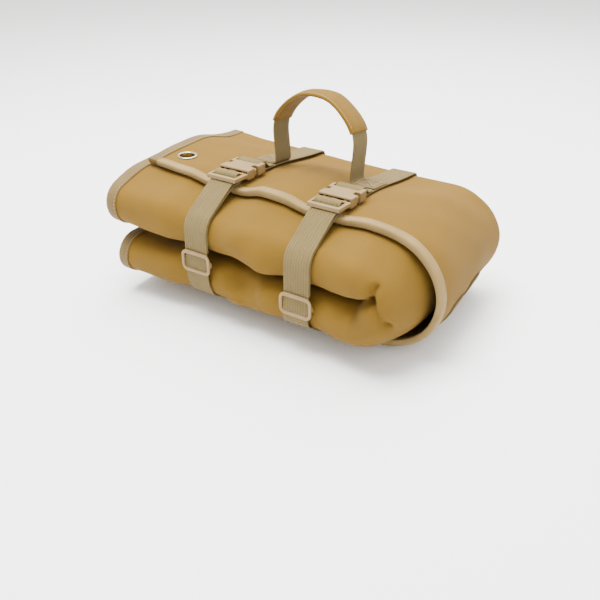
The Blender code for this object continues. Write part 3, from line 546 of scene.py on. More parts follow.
# %% [markdown]
# The fold itself comes before the settling. Straight cloth keeps its x; in the bend the distance along the
# width becomes an angle, so the layers turn about one axis and keep their spacing.

# %% The fold


def fold(s, w, n):
    """(s, w, n) in the flat mat to its place in the settled bundle."""
    s, w, n = (np.asarray(value, dtype=float).ravel() for value in np.broadcast_arrays(s, w, n))
    before, after = np.minimum(s, 0.0), np.maximum(s - MAT_LENGTH, 0.0)
    y, q = (
        np.interp(s, LINE_REACH, LINE[:, i]) + n * np.interp(s, LINE_REACH, LINE_NORMALS[:, i])
        for i in (0, 1)
    )
    y = y + line_tangents[0][0] * before + line_tangents[-1][0] * after
    q = q + line_tangents[0][1] * before + line_tangents[-1][1] * after
    upper = w <= HALF_WIDTH
    inward = np.where(upper, w, MAT_WIDTH - w)
    turn = np.clip((inward - STRAIGHT) / (HALF_WIDTH - STRAIGHT), 0.0, 1.0) * math.pi / 2
    radius = CLEFT_GAP / 2 + q + HALF_THICKNESS
    radius = radius + FLAP_STAND_OFF * np.sin(turn) ** 2 * (1 - smooth_step(s / FLAP_LENGTH))
    loose = np.maximum(0.0, 1 - inward / STRAIGHT)
    stagger = np.where(upper, END_STAGGERS["upper"], END_STAGGERS["lower"])
    pulled = stagger * loose * np.minimum(1.0, s / FLAP_LENGTH)
    x = np.minimum(inward, STRAIGHT) + radius * np.sin(turn) - pulled
    rise = radius * np.cos(turn)
    z = MIDDLE_Z + np.where(upper, rise + END_SPLAY * loose**2, -rise)
    return settle(np.stack([x + OPEN_END_X, y + FRONT_Y + HALF_THICKNESS, z], 1))


corner = fold(0.0, 0.0, 0.0)[0]
print("the flap's front corner is at", [round(float(value), 4) for value in corner])

# %% [markdown]
# ## Making layers of cloth
#
# Each piece of cloth is a closed shell with a little thickness: a grid of quads for each face, and a strip
# round the edge that joins them. The grid also stores the flat place as the UV map, for the weave. Where
# an eyelet goes through, the cells inside its circle are left out and the ones round it are drawn onto the
# circle.

# %% Cloth from a grid


def mesh_object(name, points, faces, uvs, finish, smooth=True):
    """A mesh whose UV map comes from a flat place for each vertex."""
    mesh = bpy.data.meshes.new(name)
    mesh.from_pydata([tuple(point) for point in points], [], [tuple(int(i) for i in face) for face in faces])
    corners = np.zeros(len(mesh.loops), dtype=np.int32)
    mesh.loops.foreach_get("vertex_index", corners)
    layer = mesh.uv_layers.new(name="cloth")
    layer.data.foreach_set("uv", np.asarray(uvs, dtype=np.float32)[corners].ravel())
    mesh.polygons.foreach_set("use_smooth", [smooth] * len(mesh.polygons))
    mesh.materials.append(finish)
    mesh.update()
    obj = bpy.data.objects.new(name, mesh)
    bpy.context.scene.collection.objects.link(obj)
    return obj


def cloth_layer(name, s_range, w_range, n_range, finish, step=0.0030, holes=()):
    """A closed shell over a rectangle of the flat mat, between two heights off its middle."""
    s_values = np.linspace(*s_range, max(2, int(abs(s_range[1] - s_range[0]) / step) + 1))
    w_values = np.linspace(*w_range, max(2, int(abs(w_range[1] - w_range[0]) / step) + 1))
    s_grid, w_grid = np.meshgrid(s_values, w_values, indexing="ij")
    rows, columns = s_grid.shape
    count = rows * columns
    index = np.arange(count).reshape(rows, columns)
    kept = np.ones((rows - 1, columns - 1), dtype=bool)
    s_flat, w_flat = s_grid.ravel().copy(), w_grid.ravel().copy()
    s_middle = (s_values[:-1] + s_values[1:])[:, None] / 2
    w_middle = (w_values[:-1] + w_values[1:])[None, :] / 2
    for hole_s, hole_w, hole_radius in holes:
        inside = np.hypot(s_middle - hole_s, w_middle - hole_w) < hole_radius
        kept &= ~inside
        rim = set()
        for i, j in np.argwhere(inside):
            rim.update(index[i : i + 2, j : j + 2].ravel())
        for v in rim:
            away = math.hypot(s_flat[v] - hole_s, w_flat[v] - hole_w)
            if away > hole_radius * 0.45:
                s_flat[v] = hole_s + (s_flat[v] - hole_s) * hole_radius / away
                w_flat[v] = hole_w + (w_flat[v] - hole_w) * hole_radius / away
    quads = np.stack([index[:-1, :-1], index[1:, :-1], index[1:, 1:], index[:-1, 1:]], 2)[kept]
    low, high = sorted(n_range)
    points = np.concatenate([fold(s_flat, w_flat, high), fold(s_flat, w_flat, low)])
    edges = {}
    for quad in quads:
        for a, b in zip(quad, np.roll(quad, -1)):
            if edges.pop((b, a), None) is None:
                edges[(a, b)] = True
    sides = [(b, a, a + count, b + count) for a, b in edges]
    faces = [tuple(quad) for quad in quads] + [tuple(quad[::-1] + count) for quad in quads] + sides
    used = np.unique(np.array([i for face in faces for i in face]))
    renumber = np.full(2 * count, -1)
    renumber[used] = np.arange(len(used))
    flat = np.stack([np.tile(s_flat, 2), np.tile(w_flat, 2)], 1)
    faces = [tuple(renumber[i] for i in face) for face in faces]
    return outwards(mesh_object(name, points[used], faces, flat[used], finish))


def outwards(obj):
    """Turns the shell right side out, if it is inside out."""
    bm = bmesh.new()
    bm.from_mesh(obj.data)
    bmesh.ops.recalc_face_normals(bm, faces=bm.faces)
    bm.to_mesh(obj.data)
    bm.free()
    return obj


# %% [markdown]
# ## The five panels
#
# Each panel is two layers of canvas with thin foam between them, so a panel is one padded sheet 2.6 mm
# thick. They are cut to the mat's width and sewn end to end. The first and the last are made with holes
# for the eyelets.

# %% The five panels
SEAM_PLACES = (0.215, 0.658, 1.120, 1.578)
SEAM_GAP = 0.0006
EYELET_INSET, EYELET_RADIUS, BARREL_RADIUS, BORE_RADIUS = 0.027, 0.0100, 0.0082, 0.0074
PANELS = ("flap_panel", "near_pocket_panel", "centre_panel", "far_pocket_panel", "tail_panel")
PIECES = {}


def stands_for(obj, slot, *nodes, body="root"):
    """The piece rides on a body and replaces its solids."""
    if body:
        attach(obj, body)
    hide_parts(*nodes)
    PIECES[obj.name] = obj
    return obj


EYELETS = {
    f"{end}_{side}": (s, w)
    for end, s in (("flap", EYELET_INSET), ("tail", MAT_LENGTH - EYELET_INSET))
    for side, w in (("upper", EYELET_INSET), ("lower", MAT_WIDTH - EYELET_INSET))
}
panel_edges = [-SEAM_GAP / 2, *SEAM_PLACES, MAT_LENGTH + SEAM_GAP / 2]
PANEL_LENGTHS = {}
PANEL_STEP, SHOWN_STEP = 0.0030, 0.00255  # finer where the front of the roll shows
for panel, low, high in zip(PANELS, panel_edges, panel_edges[1:]):
    span = (low + SEAM_GAP / 2, high - SEAM_GAP / 2)
    holes = [(s, w, BARREL_RADIUS + FIT_GAP) for s, w in EYELETS.values() if span[0] < s < span[1]]
    step = SHOWN_STEP if panel == "near_pocket_panel" else PANEL_STEP
    piece = cloth_layer(
        "canvas_" + panel, span, (0.0, MAT_WIDTH), (-HALF_THICKNESS, HALF_THICKNESS), CANVAS, step, holes
    )
    PANEL_LENGTHS[panel] = span[1] - span[0]
    stands_for(piece, "canvas", panel)
    print(panel, f"{PANEL_LENGTHS[panel]:.3f} m long,", len(piece.data.polygons), "faces")

# %% [markdown]
# ## Pockets, seam tapes and ladder strips
#
# Two panels carry broad pockets of taupe cloth, with a band across their middle where both pockets end.
# Tapes hide the seams between panels. The flap has two columns of webbing ladder for hanging things on.
# They are all layers on the flat mat, so they are made as the panels are, a little further out.

# %% Pockets, seam tapes and ladder strips
POCKET_MIDDLE, POCKET_DIVIDER, POCKET_THICKNESS = 0.393, 0.038, 0.0007
EDGE_STRIP_WIDTH = 0.010
LADDER_STARTS, LADDER_WIDTH, LADDER_THICKNESS = (0.031, 0.077), 0.023, 0.0012
LADDER_SPANS = {"upper": (0.356, 0.500), "lower": (0.510, 0.644)}
FACE = HALF_THICKNESS + FIT_GAP
HIDDEN_STEP = 0.0060

edge = TAPE_WIDTH + FIT_GAP
half_strip = EDGE_STRIP_WIDTH / 2
band_low, band_high = POCKET_MIDDLE - POCKET_DIVIDER / 2, POCKET_MIDDLE + POCKET_DIVIDER / 2
pocket_level = (FACE, FACE + POCKET_THICKNESS)
POCKET_SIZES = {}
for side, low_seam, high_seam in (("near", *SEAM_PLACES[:2]), ("far", *SEAM_PLACES[2:])):
    span = (low_seam + half_strip + FIT_GAP, high_seam - half_strip - FIT_GAP)
    for part, w_low, w_high in (
        ("cover_upper", edge, band_low - FIT_GAP),
        ("divider", band_low, band_high),
        ("cover_lower", band_high + FIT_GAP, MAT_WIDTH - edge),
    ):
        node = f"{side}_pocket_{part}"
        made = cloth_layer("cloth_" + node, span, (w_low, w_high), pocket_level, POCKET_CLOTH, HIDDEN_STEP)
        if part != "divider":
            POCKET_SIZES[node] = (w_high - w_low, span[1] - span[0])
        stands_for(made, "pocket_cloth", node)
    for place, seam in (("front", low_seam), ("back", high_seam)):
        node = f"{side}_seam_tape_{place}"
        strip = (seam - half_strip, seam + half_strip)
        stands_for(
            cloth_layer("tape_" + node, strip, (edge, MAT_WIDTH - edge), pocket_level, TAPE, 0.0050),
            "binding_tape",
            node,
        )
for column, start in zip(("front", "back"), LADDER_STARTS):
    for end, w_span in LADDER_SPANS.items():
        node = f"ladder_strip_{column}_{end}"
        level = (FACE, FACE + LADDER_THICKNESS)
        made = cloth_layer("webbing_" + node, (start, start + LADDER_WIDTH), w_span, level, WEBBING, 0.0023)
        swap = made.data.uv_layers["cloth"].data
        for corner_uv in swap:
            corner_uv.uv = (corner_uv.uv[1], corner_uv.uv[0])
        stands_for(made, "webbing", node)
print(len(PIECES), "layers of cloth so far")

# %% [markdown]
# ## Binding tape round the edges
#
# A raw edge of padded canvas is closed by tape folded over it and sewn through. Its section is a flat
# hairpin with a round nose, and it is swept along the edge in flat coordinates. On the flap's free edge
# the tape is a little looser and stands proud, because nothing presses on it.

# %% Binding tape
NOSE_STEPS = 6


def hairpin(width, puff):
    """The tape's closed section as (distance inwards, n): round the outside, and back round the inside."""
    angles = [-math.pi / 2 + math.pi * i / NOSE_STEPS for i in range(NOSE_STEPS + 1)]
    flank = [width, width * 0.72, width * 0.4]
    outer = TAPE_OUT + puff
    nose = FIT_GAP + TAPE_THICKNESS
    outside = [(width, -TAPE_OUT + 0.0002), (flank[1], -TAPE_OUT), (flank[2], -outer)]
    outside += [(-nose * math.cos(a), outer * math.sin(a)) for a in angles]
    outside += [(flank[2], outer), (flank[1], TAPE_OUT), (width, TAPE_OUT - 0.0002)]
    inside = [(width, FACE), (flank[2], FACE)]
    inside += [(-FIT_GAP * math.cos(a), FACE * math.sin(a)) for a in reversed(angles)]
    inside += [(flank[2], -FACE), (width, -FACE)]
    return outside + inside


def swept(name, rings, uvs, finish):
    """A closed solid through rings of points, with its two ends filled."""
    rings = np.asarray(rings)
    count, size = rings.shape[:2]
    faces = []
    for k in range(count - 1):
        for i in range(size):
            j = (i + 1) % size
            faces.append((k * size + i, k * size + j, (k + 1) * size + j, (k + 1) * size + i))
    faces.append(tuple(range(size))[::-1])
    faces.append(tuple((count - 1) * size + i for i in range(size)))
    return outwards(mesh_object(name, rings.reshape(-1, 3), faces, np.asarray(uvs).reshape(-1, 2), finish))


def bind_edge(name, stations, flat_place, width, puff, finish):
    """Tape along an edge: flat_place takes (station, distance inwards) to (s, w)."""
    section = np.array(hairpin(width, puff))
    rings, uvs = [], []
    for station in stations:
        s, w = flat_place(station, section[:, 0])
        rings.append(fold(s, w, section[:, 1]))
        uvs.append(np.stack([np.full(len(section), station), section[:, 0]], 1))
    return swept(name, rings, uvs, finish)


FLAP_TAPE_WIDTH = 0.0078
along_mat = np.linspace(0.0, MAT_LENGTH, 620)
across_mat = np.linspace(edge, MAT_WIDTH - edge, 240)
BINDINGS = {
    "side_binding_upper": (along_mat, lambda a, d: (np.full_like(d, a), d), TAPE_WIDTH, 0.0, SIDE_TAPE),
    "side_binding_lower": (
        along_mat, lambda a, d: (np.full_like(d, a), MAT_WIDTH - d), TAPE_WIDTH, 0.0, SIDE_TAPE
    ),
    "end_binding_flap": (across_mat, lambda a, d: (d, np.full_like(d, a)), FLAP_TAPE_WIDTH, 0.0006, TAPE),
    "end_binding_tail": (
        across_mat, lambda a, d: (MAT_LENGTH - d, np.full_like(d, a)), TAPE_WIDTH, 0.0, TAPE
    ),
}
for node, how in BINDINGS.items():
    stands_for(bind_edge("tape_" + node, *how), "binding_tape", node)
print("bound", 2 * (MAT_LENGTH + MAT_WIDTH), "m of edge")

# %% [markdown]
# ## Eyelets
#
# An eyelet is two pressed rings: a grommet whose barrel goes through the cloth, and a washer that the
# barrel is rolled over behind. Both have round, rolled rims that catch the light, so each is a rounded
# profile turned about the hole's axis and set on the cloth with a frame measured from the fold.

# %% Eyelets


FRAME_STEP = 0.004  # between the places that give the cloth's directions


def eyelet_frame(s, w):
    steps = ((0, 0), (FRAME_STEP, 0), (0, FRAME_STEP))
    centre, along, across = (Vector(fold(s + ds, w + dw, 0.0)[0]) for ds, dw in steps)
    out = (along - centre).cross(across - centre).normalized()
    if out.dot(Vector(fold(s, w, HALF_THICKNESS)[0]) - centre) < 0:
        out = -out
    first = (along - centre).normalized()
    matrix = Matrix((first, out.cross(first), out)).transposed().to_4x4()
    matrix.translation = centre
    return matrix


def turned(name, profile, matrix, finish, count=48):
    """A closed profile of (radius, height) turned about the frame's axis."""
    angles = np.linspace(0, 2 * math.pi, count, endpoint=False)
    points, faces, size = [], [], len(profile)
    for angle in angles:
        points += [matrix @ Vector((r * math.cos(angle), r * math.sin(angle), h)) for r, h in profile]
    for k in range(count):
        for i in range(size):
            j = (i + 1) % size
            a, b = k * size, (k + 1) % count * size
            faces.append((a + i, b + i, b + j, a + j))
    return outwards(mesh_object(name, points, faces, [(0.0, 0.0)] * len(points), finish))


def rolled_rim(inner, outer, base, top):
    """A rim that rises from its outer edge, rolls over and goes down into the bore."""
    middle, half = (inner + outer) / 2, (outer - inner) / 2
    angles = [math.pi * i / 10 for i in range(11)]
    return [(middle + half * math.cos(a), base + (top - base) * math.sin(a) ** 0.7) for a in angles]


for eyelet_name, (s, w) in EYELETS.items():
    matrix = eyelet_frame(s, w)
    grommet = rolled_rim(BORE_RADIUS, EYELET_RADIUS, FACE, TAPE_OUT + 0.0006)
    grommet += [(BORE_RADIUS, -TAPE_OUT), (BARREL_RADIUS, -TAPE_OUT), (BARREL_RADIUS, FACE)]
    washer = [(r, -h) for r, h in rolled_rim(BARREL_RADIUS + FIT_GAP, EYELET_RADIUS, FACE, TAPE_OUT)]
    for kind, profile in (("grommet", grommet), ("washer", washer)):
        node = f"eyelet_{kind}_{eyelet_name}"
        stands_for(turned("metal_" + node, profile, matrix, METAL), "eyelet_metal", node)
print("eyelets", ", ".join(EYELETS))

# %% [markdown]
# ## Webbing
#
# The straps go round the bundle as taut bands, double back through the sliders and loop over the buckles'
# bars. The frame's solids already hold that route, in straight pieces. So the middle line is read from a
# solid's side, a smooth curve is drawn through its corners, and a band with rounded selvages is swept
# along it.

# %% Webbing
WEBBING_THICKNESS = 0.0015
HALF_WEBBING = 0.0127


def solid_outline(node, axis):
    """The corners round one side of a band's solid, in order."""
    bm = bmesh.new()
    bm.from_mesh(frame["nodes"][node].data)
    bmesh.ops.remove_doubles(bm, verts=bm.verts, dist=2e-6)
    bm.normal_update()
    low = min(v.co[axis] for v in bm.verts)
    following = {}
    for e in bm.edges:
        if all(abs(v.co[axis] - low) < 2e-5 for v in e.verts):
            if sum(abs(f.normal[axis]) > 0.7 for f in e.link_faces) == 1:
                a, b = e.verts
                following.setdefault(a.index, []).append(b.index)
                following.setdefault(b.index, []).append(a.index)
    bm.verts.ensure_lookup_table()
    start = next(iter(following))
    ring, last, here = [start], None, start
    while True:
        onward = [i for i in following[here] if i != last]
        last, here = here, onward[0]
        if here == start:
            break
        ring.append(here)
    kept = [i for i in range(3) if i != axis]
    points = np.array([[bm.verts[i].co[k] for k in kept] for i in ring])
    bm.free()
    return points


def middle_line(node, axis):
    """A band's middle line: halfway between each corner and the one across from it."""
    ring = solid_outline(node, axis)
    count = len(ring)
    legs = np.roll(ring, -1, axis=0) - ring
    lengths = np.linalg.norm(legs, axis=1)
    units = legs / lengths[:, None]
    square = [abs(float(units[i - 1] @ units[i])) < 0.35 for i in range(count)]
    ends = [
        i for i in range(count)
        if square[i] and square[(i + 1) % count] and abs(lengths[i] - WEBBING_THICKNESS) < 1e-4
    ]
    ring = np.roll(ring, -(ends[0] + 1), axis=0)
    half = count // 2
    return (ring[:half] + ring[count - half :][::-1]) / 2


def smooth_curve(points, step):
    """A centripetal Catmull-Rom curve through the points, then evenly spaced."""
    padded_points = np.concatenate([[2 * points[0] - points[1]], points, [2 * points[-1] - points[-2]]])
    chords = np.linalg.norm(np.diff(padded_points, axis=0), axis=1)
    knots = np.concatenate([[0.0], np.cumsum(np.sqrt(chords))])
    line = []
    for i in range(1, len(padded_points) - 2):
        t0, t1, t2, t3 = knots[i - 1 : i + 3]
        p0, p1, p2, p3 = padded_points[i - 1 : i + 3]
        for t in np.linspace(t1, t2, 12, endpoint=False):
            a1 = (t1 - t) / (t1 - t0) * p0 + (t - t0) / (t1 - t0) * p1
            a2 = (t2 - t) / (t2 - t1) * p1 + (t - t1) / (t2 - t1) * p2
            a3 = (t3 - t) / (t3 - t2) * p2 + (t - t2) / (t3 - t2) * p3
            b1 = (t2 - t) / (t2 - t0) * a1 + (t - t0) / (t2 - t0) * a2
            b2 = (t3 - t) / (t3 - t1) * a2 + (t - t1) / (t3 - t1) * a3
            line.append((t2 - t) / (t2 - t1) * b1 + (t - t1) / (t2 - t1) * b2)
    return resampled(np.array(line + [points[-1]]), step)


def band_section(half_width, thickness):
    """Round a band's section as (across, off the middle), with rounded selvages."""
    across = [1.0, 0.985, 0.94, 0.6, 0.2, -0.2, -0.6, -0.94, -0.985, -1.0]
    height = [0.25, 0.75, 1.0, 1.0, 0.96, 0.96, 1.0, 1.0, 0.75, 0.25]
    top = [(half_width * a, thickness / 2 * h) for a, h in zip(across, height)]
    return top + [(a, -h) for a, h in reversed(top)]


def band(name, node, axis, place, step=0.0014):
    """Webbing along a solid's middle line; axis is the direction of its width, and place the middle of it."""
    line, reach = smooth_curve(middle_line(node, axis), step)
    tangents = np.gradient(line, axis=0)
    tangents /= np.linalg.norm(tangents, axis=1)[:, None]
    normals = np.stack([-tangents[:, 1], tangents[:, 0]], 1)
    section = band_section(HALF_WEBBING, WEBBING_THICKNESS)
    rings, uvs = [], []
    for point, normal, along in zip(line, normals, reach):
        ring = []
        for across, off in section:
            plane = point + normal * off
            ring.append((place + across, *plane) if axis == 0 else (plane[0], place + across, plane[1]))
        rings.append(ring)
        uvs.append([(along, across) for across, _ in section])
    rings = settle(np.array(rings).reshape(-1, 3)).reshape(len(rings), len(section), 3)
    return swept(name, rings, uvs, WEBBING), line, reach


STRAP_LINES = {}
for side, strap_x in zip(("left", "right"), STRAP_XS):
    for node in (f"{side}_strap", f"{side}_strap_end"):
        webbing, line, reach = band("webbing_" + node, node, 0, strap_x)
        STRAP_LINES[node] = line
        if node.endswith("_end"):
            stands_for(webbing, "webbing", node, body=None)
            slider_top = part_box(f"{side}_slider")[1]
            plug_low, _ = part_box(f"{side}_buckle_plug")
            start = (strap_x, slider_top[1], slider_top[2] + 0.012)
            end = (strap_x, plug_low[1] + 0.004, plug_low[2])
            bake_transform(webbing)
        else:
            stands_for(webbing, "webbing", node)
        print(node, f"{reach[-1]:.3f} m long")

# %% [markdown]
# ## The carry handle
#
# A loop of the same webbing is sewn to both straps, and a canvas sleeve is wrapped round its arch and
# stitched along both edges as the grip. The sleeve is a flat tube that puffs a little in its middle and is
# pinched flat at its edges and its ends.

# %% The carry handle
GRIP_WIDTH, GRIP_THICKNESS = 0.029, 0.0050
handle_low, handle_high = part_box("handle_webbing")
grip_low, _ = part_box("handle_grip")
HANDLE_Y = (handle_low[1] + handle_high[1]) / 2
handle_webbing, handle_line, _ = band("webbing_handle_loop", "handle_webbing", 1, HANDLE_Y, 0.0012)
stands_for(handle_webbing, "webbing", "handle_webbing", body=None)
swing = next(joint for joint in frame["joints"] if joint["name"] == "handle_swing")
pivot_z = swing["pos_m"][2]
pivot_z + 0.003
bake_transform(handle_webbing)


def grip_section(puff):
    """Round the sleeve's section as (across, off the middle): flat seam edges and a puffed middle."""
    half_width, half = GRIP_WIDTH / 2, GRIP_THICKNESS / 2
    across = [1.0, 0.93, 0.86, 0.70, 0.4, 0.0, -0.4, -0.70, -0.86, -0.93, -1.0]
    shape = [0.55, 0.60, 0.62, 0.90, 1.0, 1.0, 1.0, 0.90, 0.62, 0.60, 0.55]
    top = [(half_width * a, half * h * puff) for a, h in zip(across, shape)]
    return top + [(a, -h) for a, h in reversed(top)]


arch = handle_line[handle_line[:, 1] >= grip_low[2] + 0.001]
arch, arch_reach = resampled(arch, 0.0015)
tangents = np.gradient(arch, axis=0)
tangents /= np.linalg.norm(tangents, axis=1)[:, None]
rings, uvs = [], []
for point, tangent, along in zip(arch, tangents, arch_reach):
    from_end = min(along, arch_reach[-1] - along)
    puff = 0.86 + 0.14 * float(smooth_step(from_end / 0.008))
    creases = 1.0 + 0.02 * math.sin(along * 430.0) + 0.015 * math.sin(along * 173.0 + 1.0)
    normal = np.array((-tangent[1], tangent[0]))
    section = grip_section(puff * creases)
    places = [(across, point + normal * off) for across, off in section]
    rings.append([(place[0], HANDLE_Y + across, place[1]) for across, place in places])
    uvs.append([(along, across) for across, _ in section])
rings = settle(np.array(rings).reshape(-1, 3)).reshape(len(rings), -1, 3)
grip = swept("canvas_handle_grip", rings, uvs, CANVAS)
stands_for(grip, "canvas", "handle_grip", body="handle")
print("grip", f"{arch_reach[-1]:.3f} m round the arch")

# %% [markdown]
# ## Stitches
#
# Thread is what tells the eye that cloth is sewn. Thousands of stitches follow rows on the mat and the
# straps, so Geometry Nodes make them: a point for each stitch carries the thread's direction, and one
# small capsule is put on every point and turned to match. Only the rows are made in Python.

# %% Stitches
STITCH_PITCH, STITCH_LENGTH, THREAD_RADIUS = 0.0036, 0.0026, 0.00032


def stitch_tree():
    """A node group that puts a capsule of thread on each point."""
    tree = bpy.data.node_groups.new("stitch row", "GeometryNodeTree")
    faces = tree.interface
    faces.new_socket("Geometry", in_out="INPUT", socket_type="NodeSocketGeometry")
    for label in ("Stitch length", "Thread radius"):
        faces.new_socket(label, in_out="INPUT", socket_type="NodeSocketFloat")
    faces.new_socket("Thread", in_out="INPUT", socket_type="NodeSocketMaterial")
    faces.new_socket("Geometry", in_out="OUTPUT", socket_type="NodeSocketGeometry")

    def add(kind, settings=None, links=None):
        made = tree.nodes.new(kind)
        for label, value in (settings or {}).items():
            setattr(made, label, value)
        for key, value in (links or {}).items():
            if hasattr(value, "is_output"):
                tree.links.new(value, made.inputs[key])
            else:
                made.inputs[key].default_value = value
        return made

    given = add("NodeGroupInput")
    capsule = add("GeometryNodeMeshUVSphere", None, {"Segments": 6, "Rings": 4, "Radius": 0.5})
    length, radius = given.outputs["Stitch length"], given.outputs["Thread radius"]
    width = add("ShaderNodeMath", {"operation": "MULTIPLY"}, {0: radius, 1: 2.0})
    size = add("ShaderNodeCombineXYZ", None, {0: width.outputs[0], 1: width.outputs[0], 2: length})
    capsule_inputs = {"Geometry": capsule.outputs["Mesh"], "Scale": size.outputs[0]}
    shaped = add("GeometryNodeTransform", None, capsule_inputs)
    along = add("GeometryNodeInputNamedAttribute", {"data_type": "FLOAT_VECTOR"}, {"Name": "along"})
    turn = add("FunctionNodeAlignRotationToVector", {"axis": "Z"}, {"Vector": along.outputs["Attribute"]})
    placed = add(
        "GeometryNodeInstanceOnPoints",
        None,
        {"Points": given.outputs["Geometry"], "Instance": shaped.outputs[0], "Rotation": turn.outputs[0]},
    )
    real = add("GeometryNodeRealizeInstances", None, {0: placed.outputs[0]})
    thread_inputs = {"Geometry": real.outputs[0], "Material": given.outputs["Thread"]}
    finished = add("GeometryNodeSetMaterial", None, thread_inputs)
    add("NodeGroupOutput", None, {0: finished.outputs[0]})
    return tree


STITCH_TREE = stitch_tree()


def sew(name, rows, body, pitch=STITCH_PITCH):
    """Thread along rows of points; returns a plain mesh that rides on one body."""
    evens = [resampled(np.asarray(row), pitch)[0] for row in rows]
    points = np.concatenate([(even[:-1] + even[1:]) / 2 for even in evens])
    directions = np.concatenate([np.diff(even, axis=0) / pitch for even in evens])
    mesh = bpy.data.meshes.new(name)
    mesh.from_pydata([tuple(point) for point in points], [], [])
    mesh.attributes.new("along", "FLOAT_VECTOR", "POINT").data.foreach_set("vector", directions.ravel())
    obj = bpy.data.objects.new(name, mesh)
    bpy.context.scene.collection.objects.link(obj)
    modifier = obj.modifiers.new("stitch row", "NODES")
    modifier.node_group = STITCH_TREE
    values = {"Stitch length": STITCH_LENGTH, "Thread radius": THREAD_RADIUS, "Thread": THREAD}
    for item in STITCH_TREE.interface.items_tree:
        if item.in_out == "INPUT" and item.name in values:
            modifier[item.identifier] = values[item.name]
    bpy.context.view_layer.update()
    graph = bpy.context.evaluated_depsgraph_get()
    plain = bpy.data.meshes.new_from_object(obj.evaluated_get(graph))
    obj.modifiers.remove(modifier)
    obj.data = plain
    plain.polygons.foreach_set("use_smooth", [True] * len(plain.polygons))
    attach(obj, body)
    PIECES[name] = obj
    print(name, len(points), "stitches")
    return obj


SEW_INSET = TAPE_WIDTH - 0.0016
ABOVE_TAPE = TAPE_OUT + 0.0001
fine_s = np.linspace(0.004, MAT_LENGTH - 0.004, 1500)
fine_w = np.linspace(edge, MAT_WIDTH - edge, 600)
for label, w_row in (("upper", SEW_INSET), ("lower", MAT_WIDTH - SEW_INSET)):
    rows = [fold(fine_s, w_row, level) for level in (ABOVE_TAPE, -ABOVE_TAPE)]
    sew(f"thread_side_{label}", rows, "root")
end_rows = [
    fold(s_row, fine_w, level)
    for s_row in (FLAP_TAPE_WIDTH - 0.0014, MAT_LENGTH - SEW_INSET)
    for level in (ABOVE_TAPE, -ABOVE_TAPE)
]
sew("thread_ends", end_rows, "root")

# %% [markdown]
# The ladder strips are tacked down in short bars at every step, and the straps and the handle have box
# stitches where webbing lies on webbing.

# %% Ladder tacks, strap boxes and the grip's seams


def sorted_run(line):
    """The top run of a strap's line, as y and z in order of y."""
    top = line[line[:, 1] > MIDDLE_Z + HALF_HEIGHT * 0.9]
    order = np.argsort(top[:, 0])
    return top[order, 0], top[order, 1]


LADDER_TACK_PITCH = 0.0245
ladder_rows = []
for start in LADDER_STARTS:
    for low, high in LADDER_SPANS.values():
        for tack in np.linspace(low + 0.003, high - 0.003, int((high - low) / LADDER_TACK_PITCH) + 1):
            for shift in (-0.0007, 0.0007):
                s_row = np.linspace(start + 0.0015, start + LADDER_WIDTH - 0.0015, 20)
                ladder_rows.append(fold(s_row, tack + shift, FACE + LADDER_THICKNESS + 0.0001))
sew("thread_ladders", ladder_rows, "root", 0.0024)

BOX_HALF_X, BOX_HALF_Y = 0.0088, 0.0098
BOX_ROW_POINTS, BOX_PITCH = 30, 0.0026
BOX_CORNERS = ((-1, -1), (1, -1), (1, 1), (-1, 1))
BOX_SIDES = tuple((BOX_CORNERS[i], BOX_CORNERS[(i + 1) % 4]) for i in range(4))
BOX_SEAMS = BOX_SIDES + ((BOX_CORNERS[0], BOX_CORNERS[2]), (BOX_CORNERS[3], BOX_CORNERS[1]))
box_rows = []
for side, strap_x in zip(("left", "right"), STRAP_XS):
    strap_height = float(np.interp(HANDLE_Y, *sorted_run(STRAP_LINES[f"{side}_strap"])))
    thread_z = strap_height + WEBBING_THICKNESS * 1.5 + FIT_GAP + THREAD_RADIUS
    for pair in BOX_SEAMS:
        ends = [(strap_x + u * BOX_HALF_X, HANDLE_Y + v * BOX_HALF_Y, thread_z) for u, v in pair]
        box_rows.append(settle(np.linspace(*np.array(ends), BOX_ROW_POINTS)))
sew("thread_strap_boxes", box_rows, "root", BOX_PITCH)

grip_rows = []
for side_sign in (-1, 1):
    for face_sign in (-1, 1):
        off = GRIP_THICKNESS / 2 * 0.64
        normals = np.stack([-tangents[:, 1], tangents[:, 0]], 1)
        flat_row = arch + normals * off * face_sign
        seam_y = np.full(len(arch), HANDLE_Y + side_sign * GRIP_WIDTH / 2 * 0.90)
        row = np.stack([flat_row[:, 0], seam_y, flat_row[:, 1]], 1)
        grip_rows.append(settle(row[3:-3]))
sew("thread_grip", grip_rows, "handle", 0.0030)

# %% [markdown]
# ## Sliders
#
# A slider is a rounded loop with a bar across its back, which the webbing bends over so that it grips. A
# moulding has no sharp edge anywhere, so the loop is an oval section swept round a rectangle with large
# corners, and the bar and its two posts are swept with the same section.

# %% Sliders
SLIDER_BAR, SLIDER_DEPTH, SLIDER_CORNER = 0.0034, 0.0019, 0.0042
WEBBING_EDGE_BAR = 0.0029  # the loop's sides, beside the webbing
POST_WIDENING = 1.4  # of the posts, against the bar


def oval(half_width, half_depth, count=14):
    angles = [2 * math.pi * i / count for i in range(count)]
    power = lambda value: math.copysign(abs(value) ** 0.6, value)
    return [(half_width * power(math.cos(a)), half_depth * power(math.sin(a))) for a in angles]


def rounded_loop(half_x, half_z, corner):
    """The middle of a loop's section, as (x, z) with the way outwards."""
    line = []
    for sign_x, sign_z, start in ((1, 1, 0), (-1, 1, 90), (-1, -1, 180), (1, -1, 270)):
        centre = ((half_x - corner) * sign_x, (half_z - corner) * sign_z)
        for a in np.radians(np.linspace(start, start + 90, 8)):
            way = np.array((math.cos(a), math.sin(a)))
            line.append((np.array(centre) + way * corner, way))
    return line


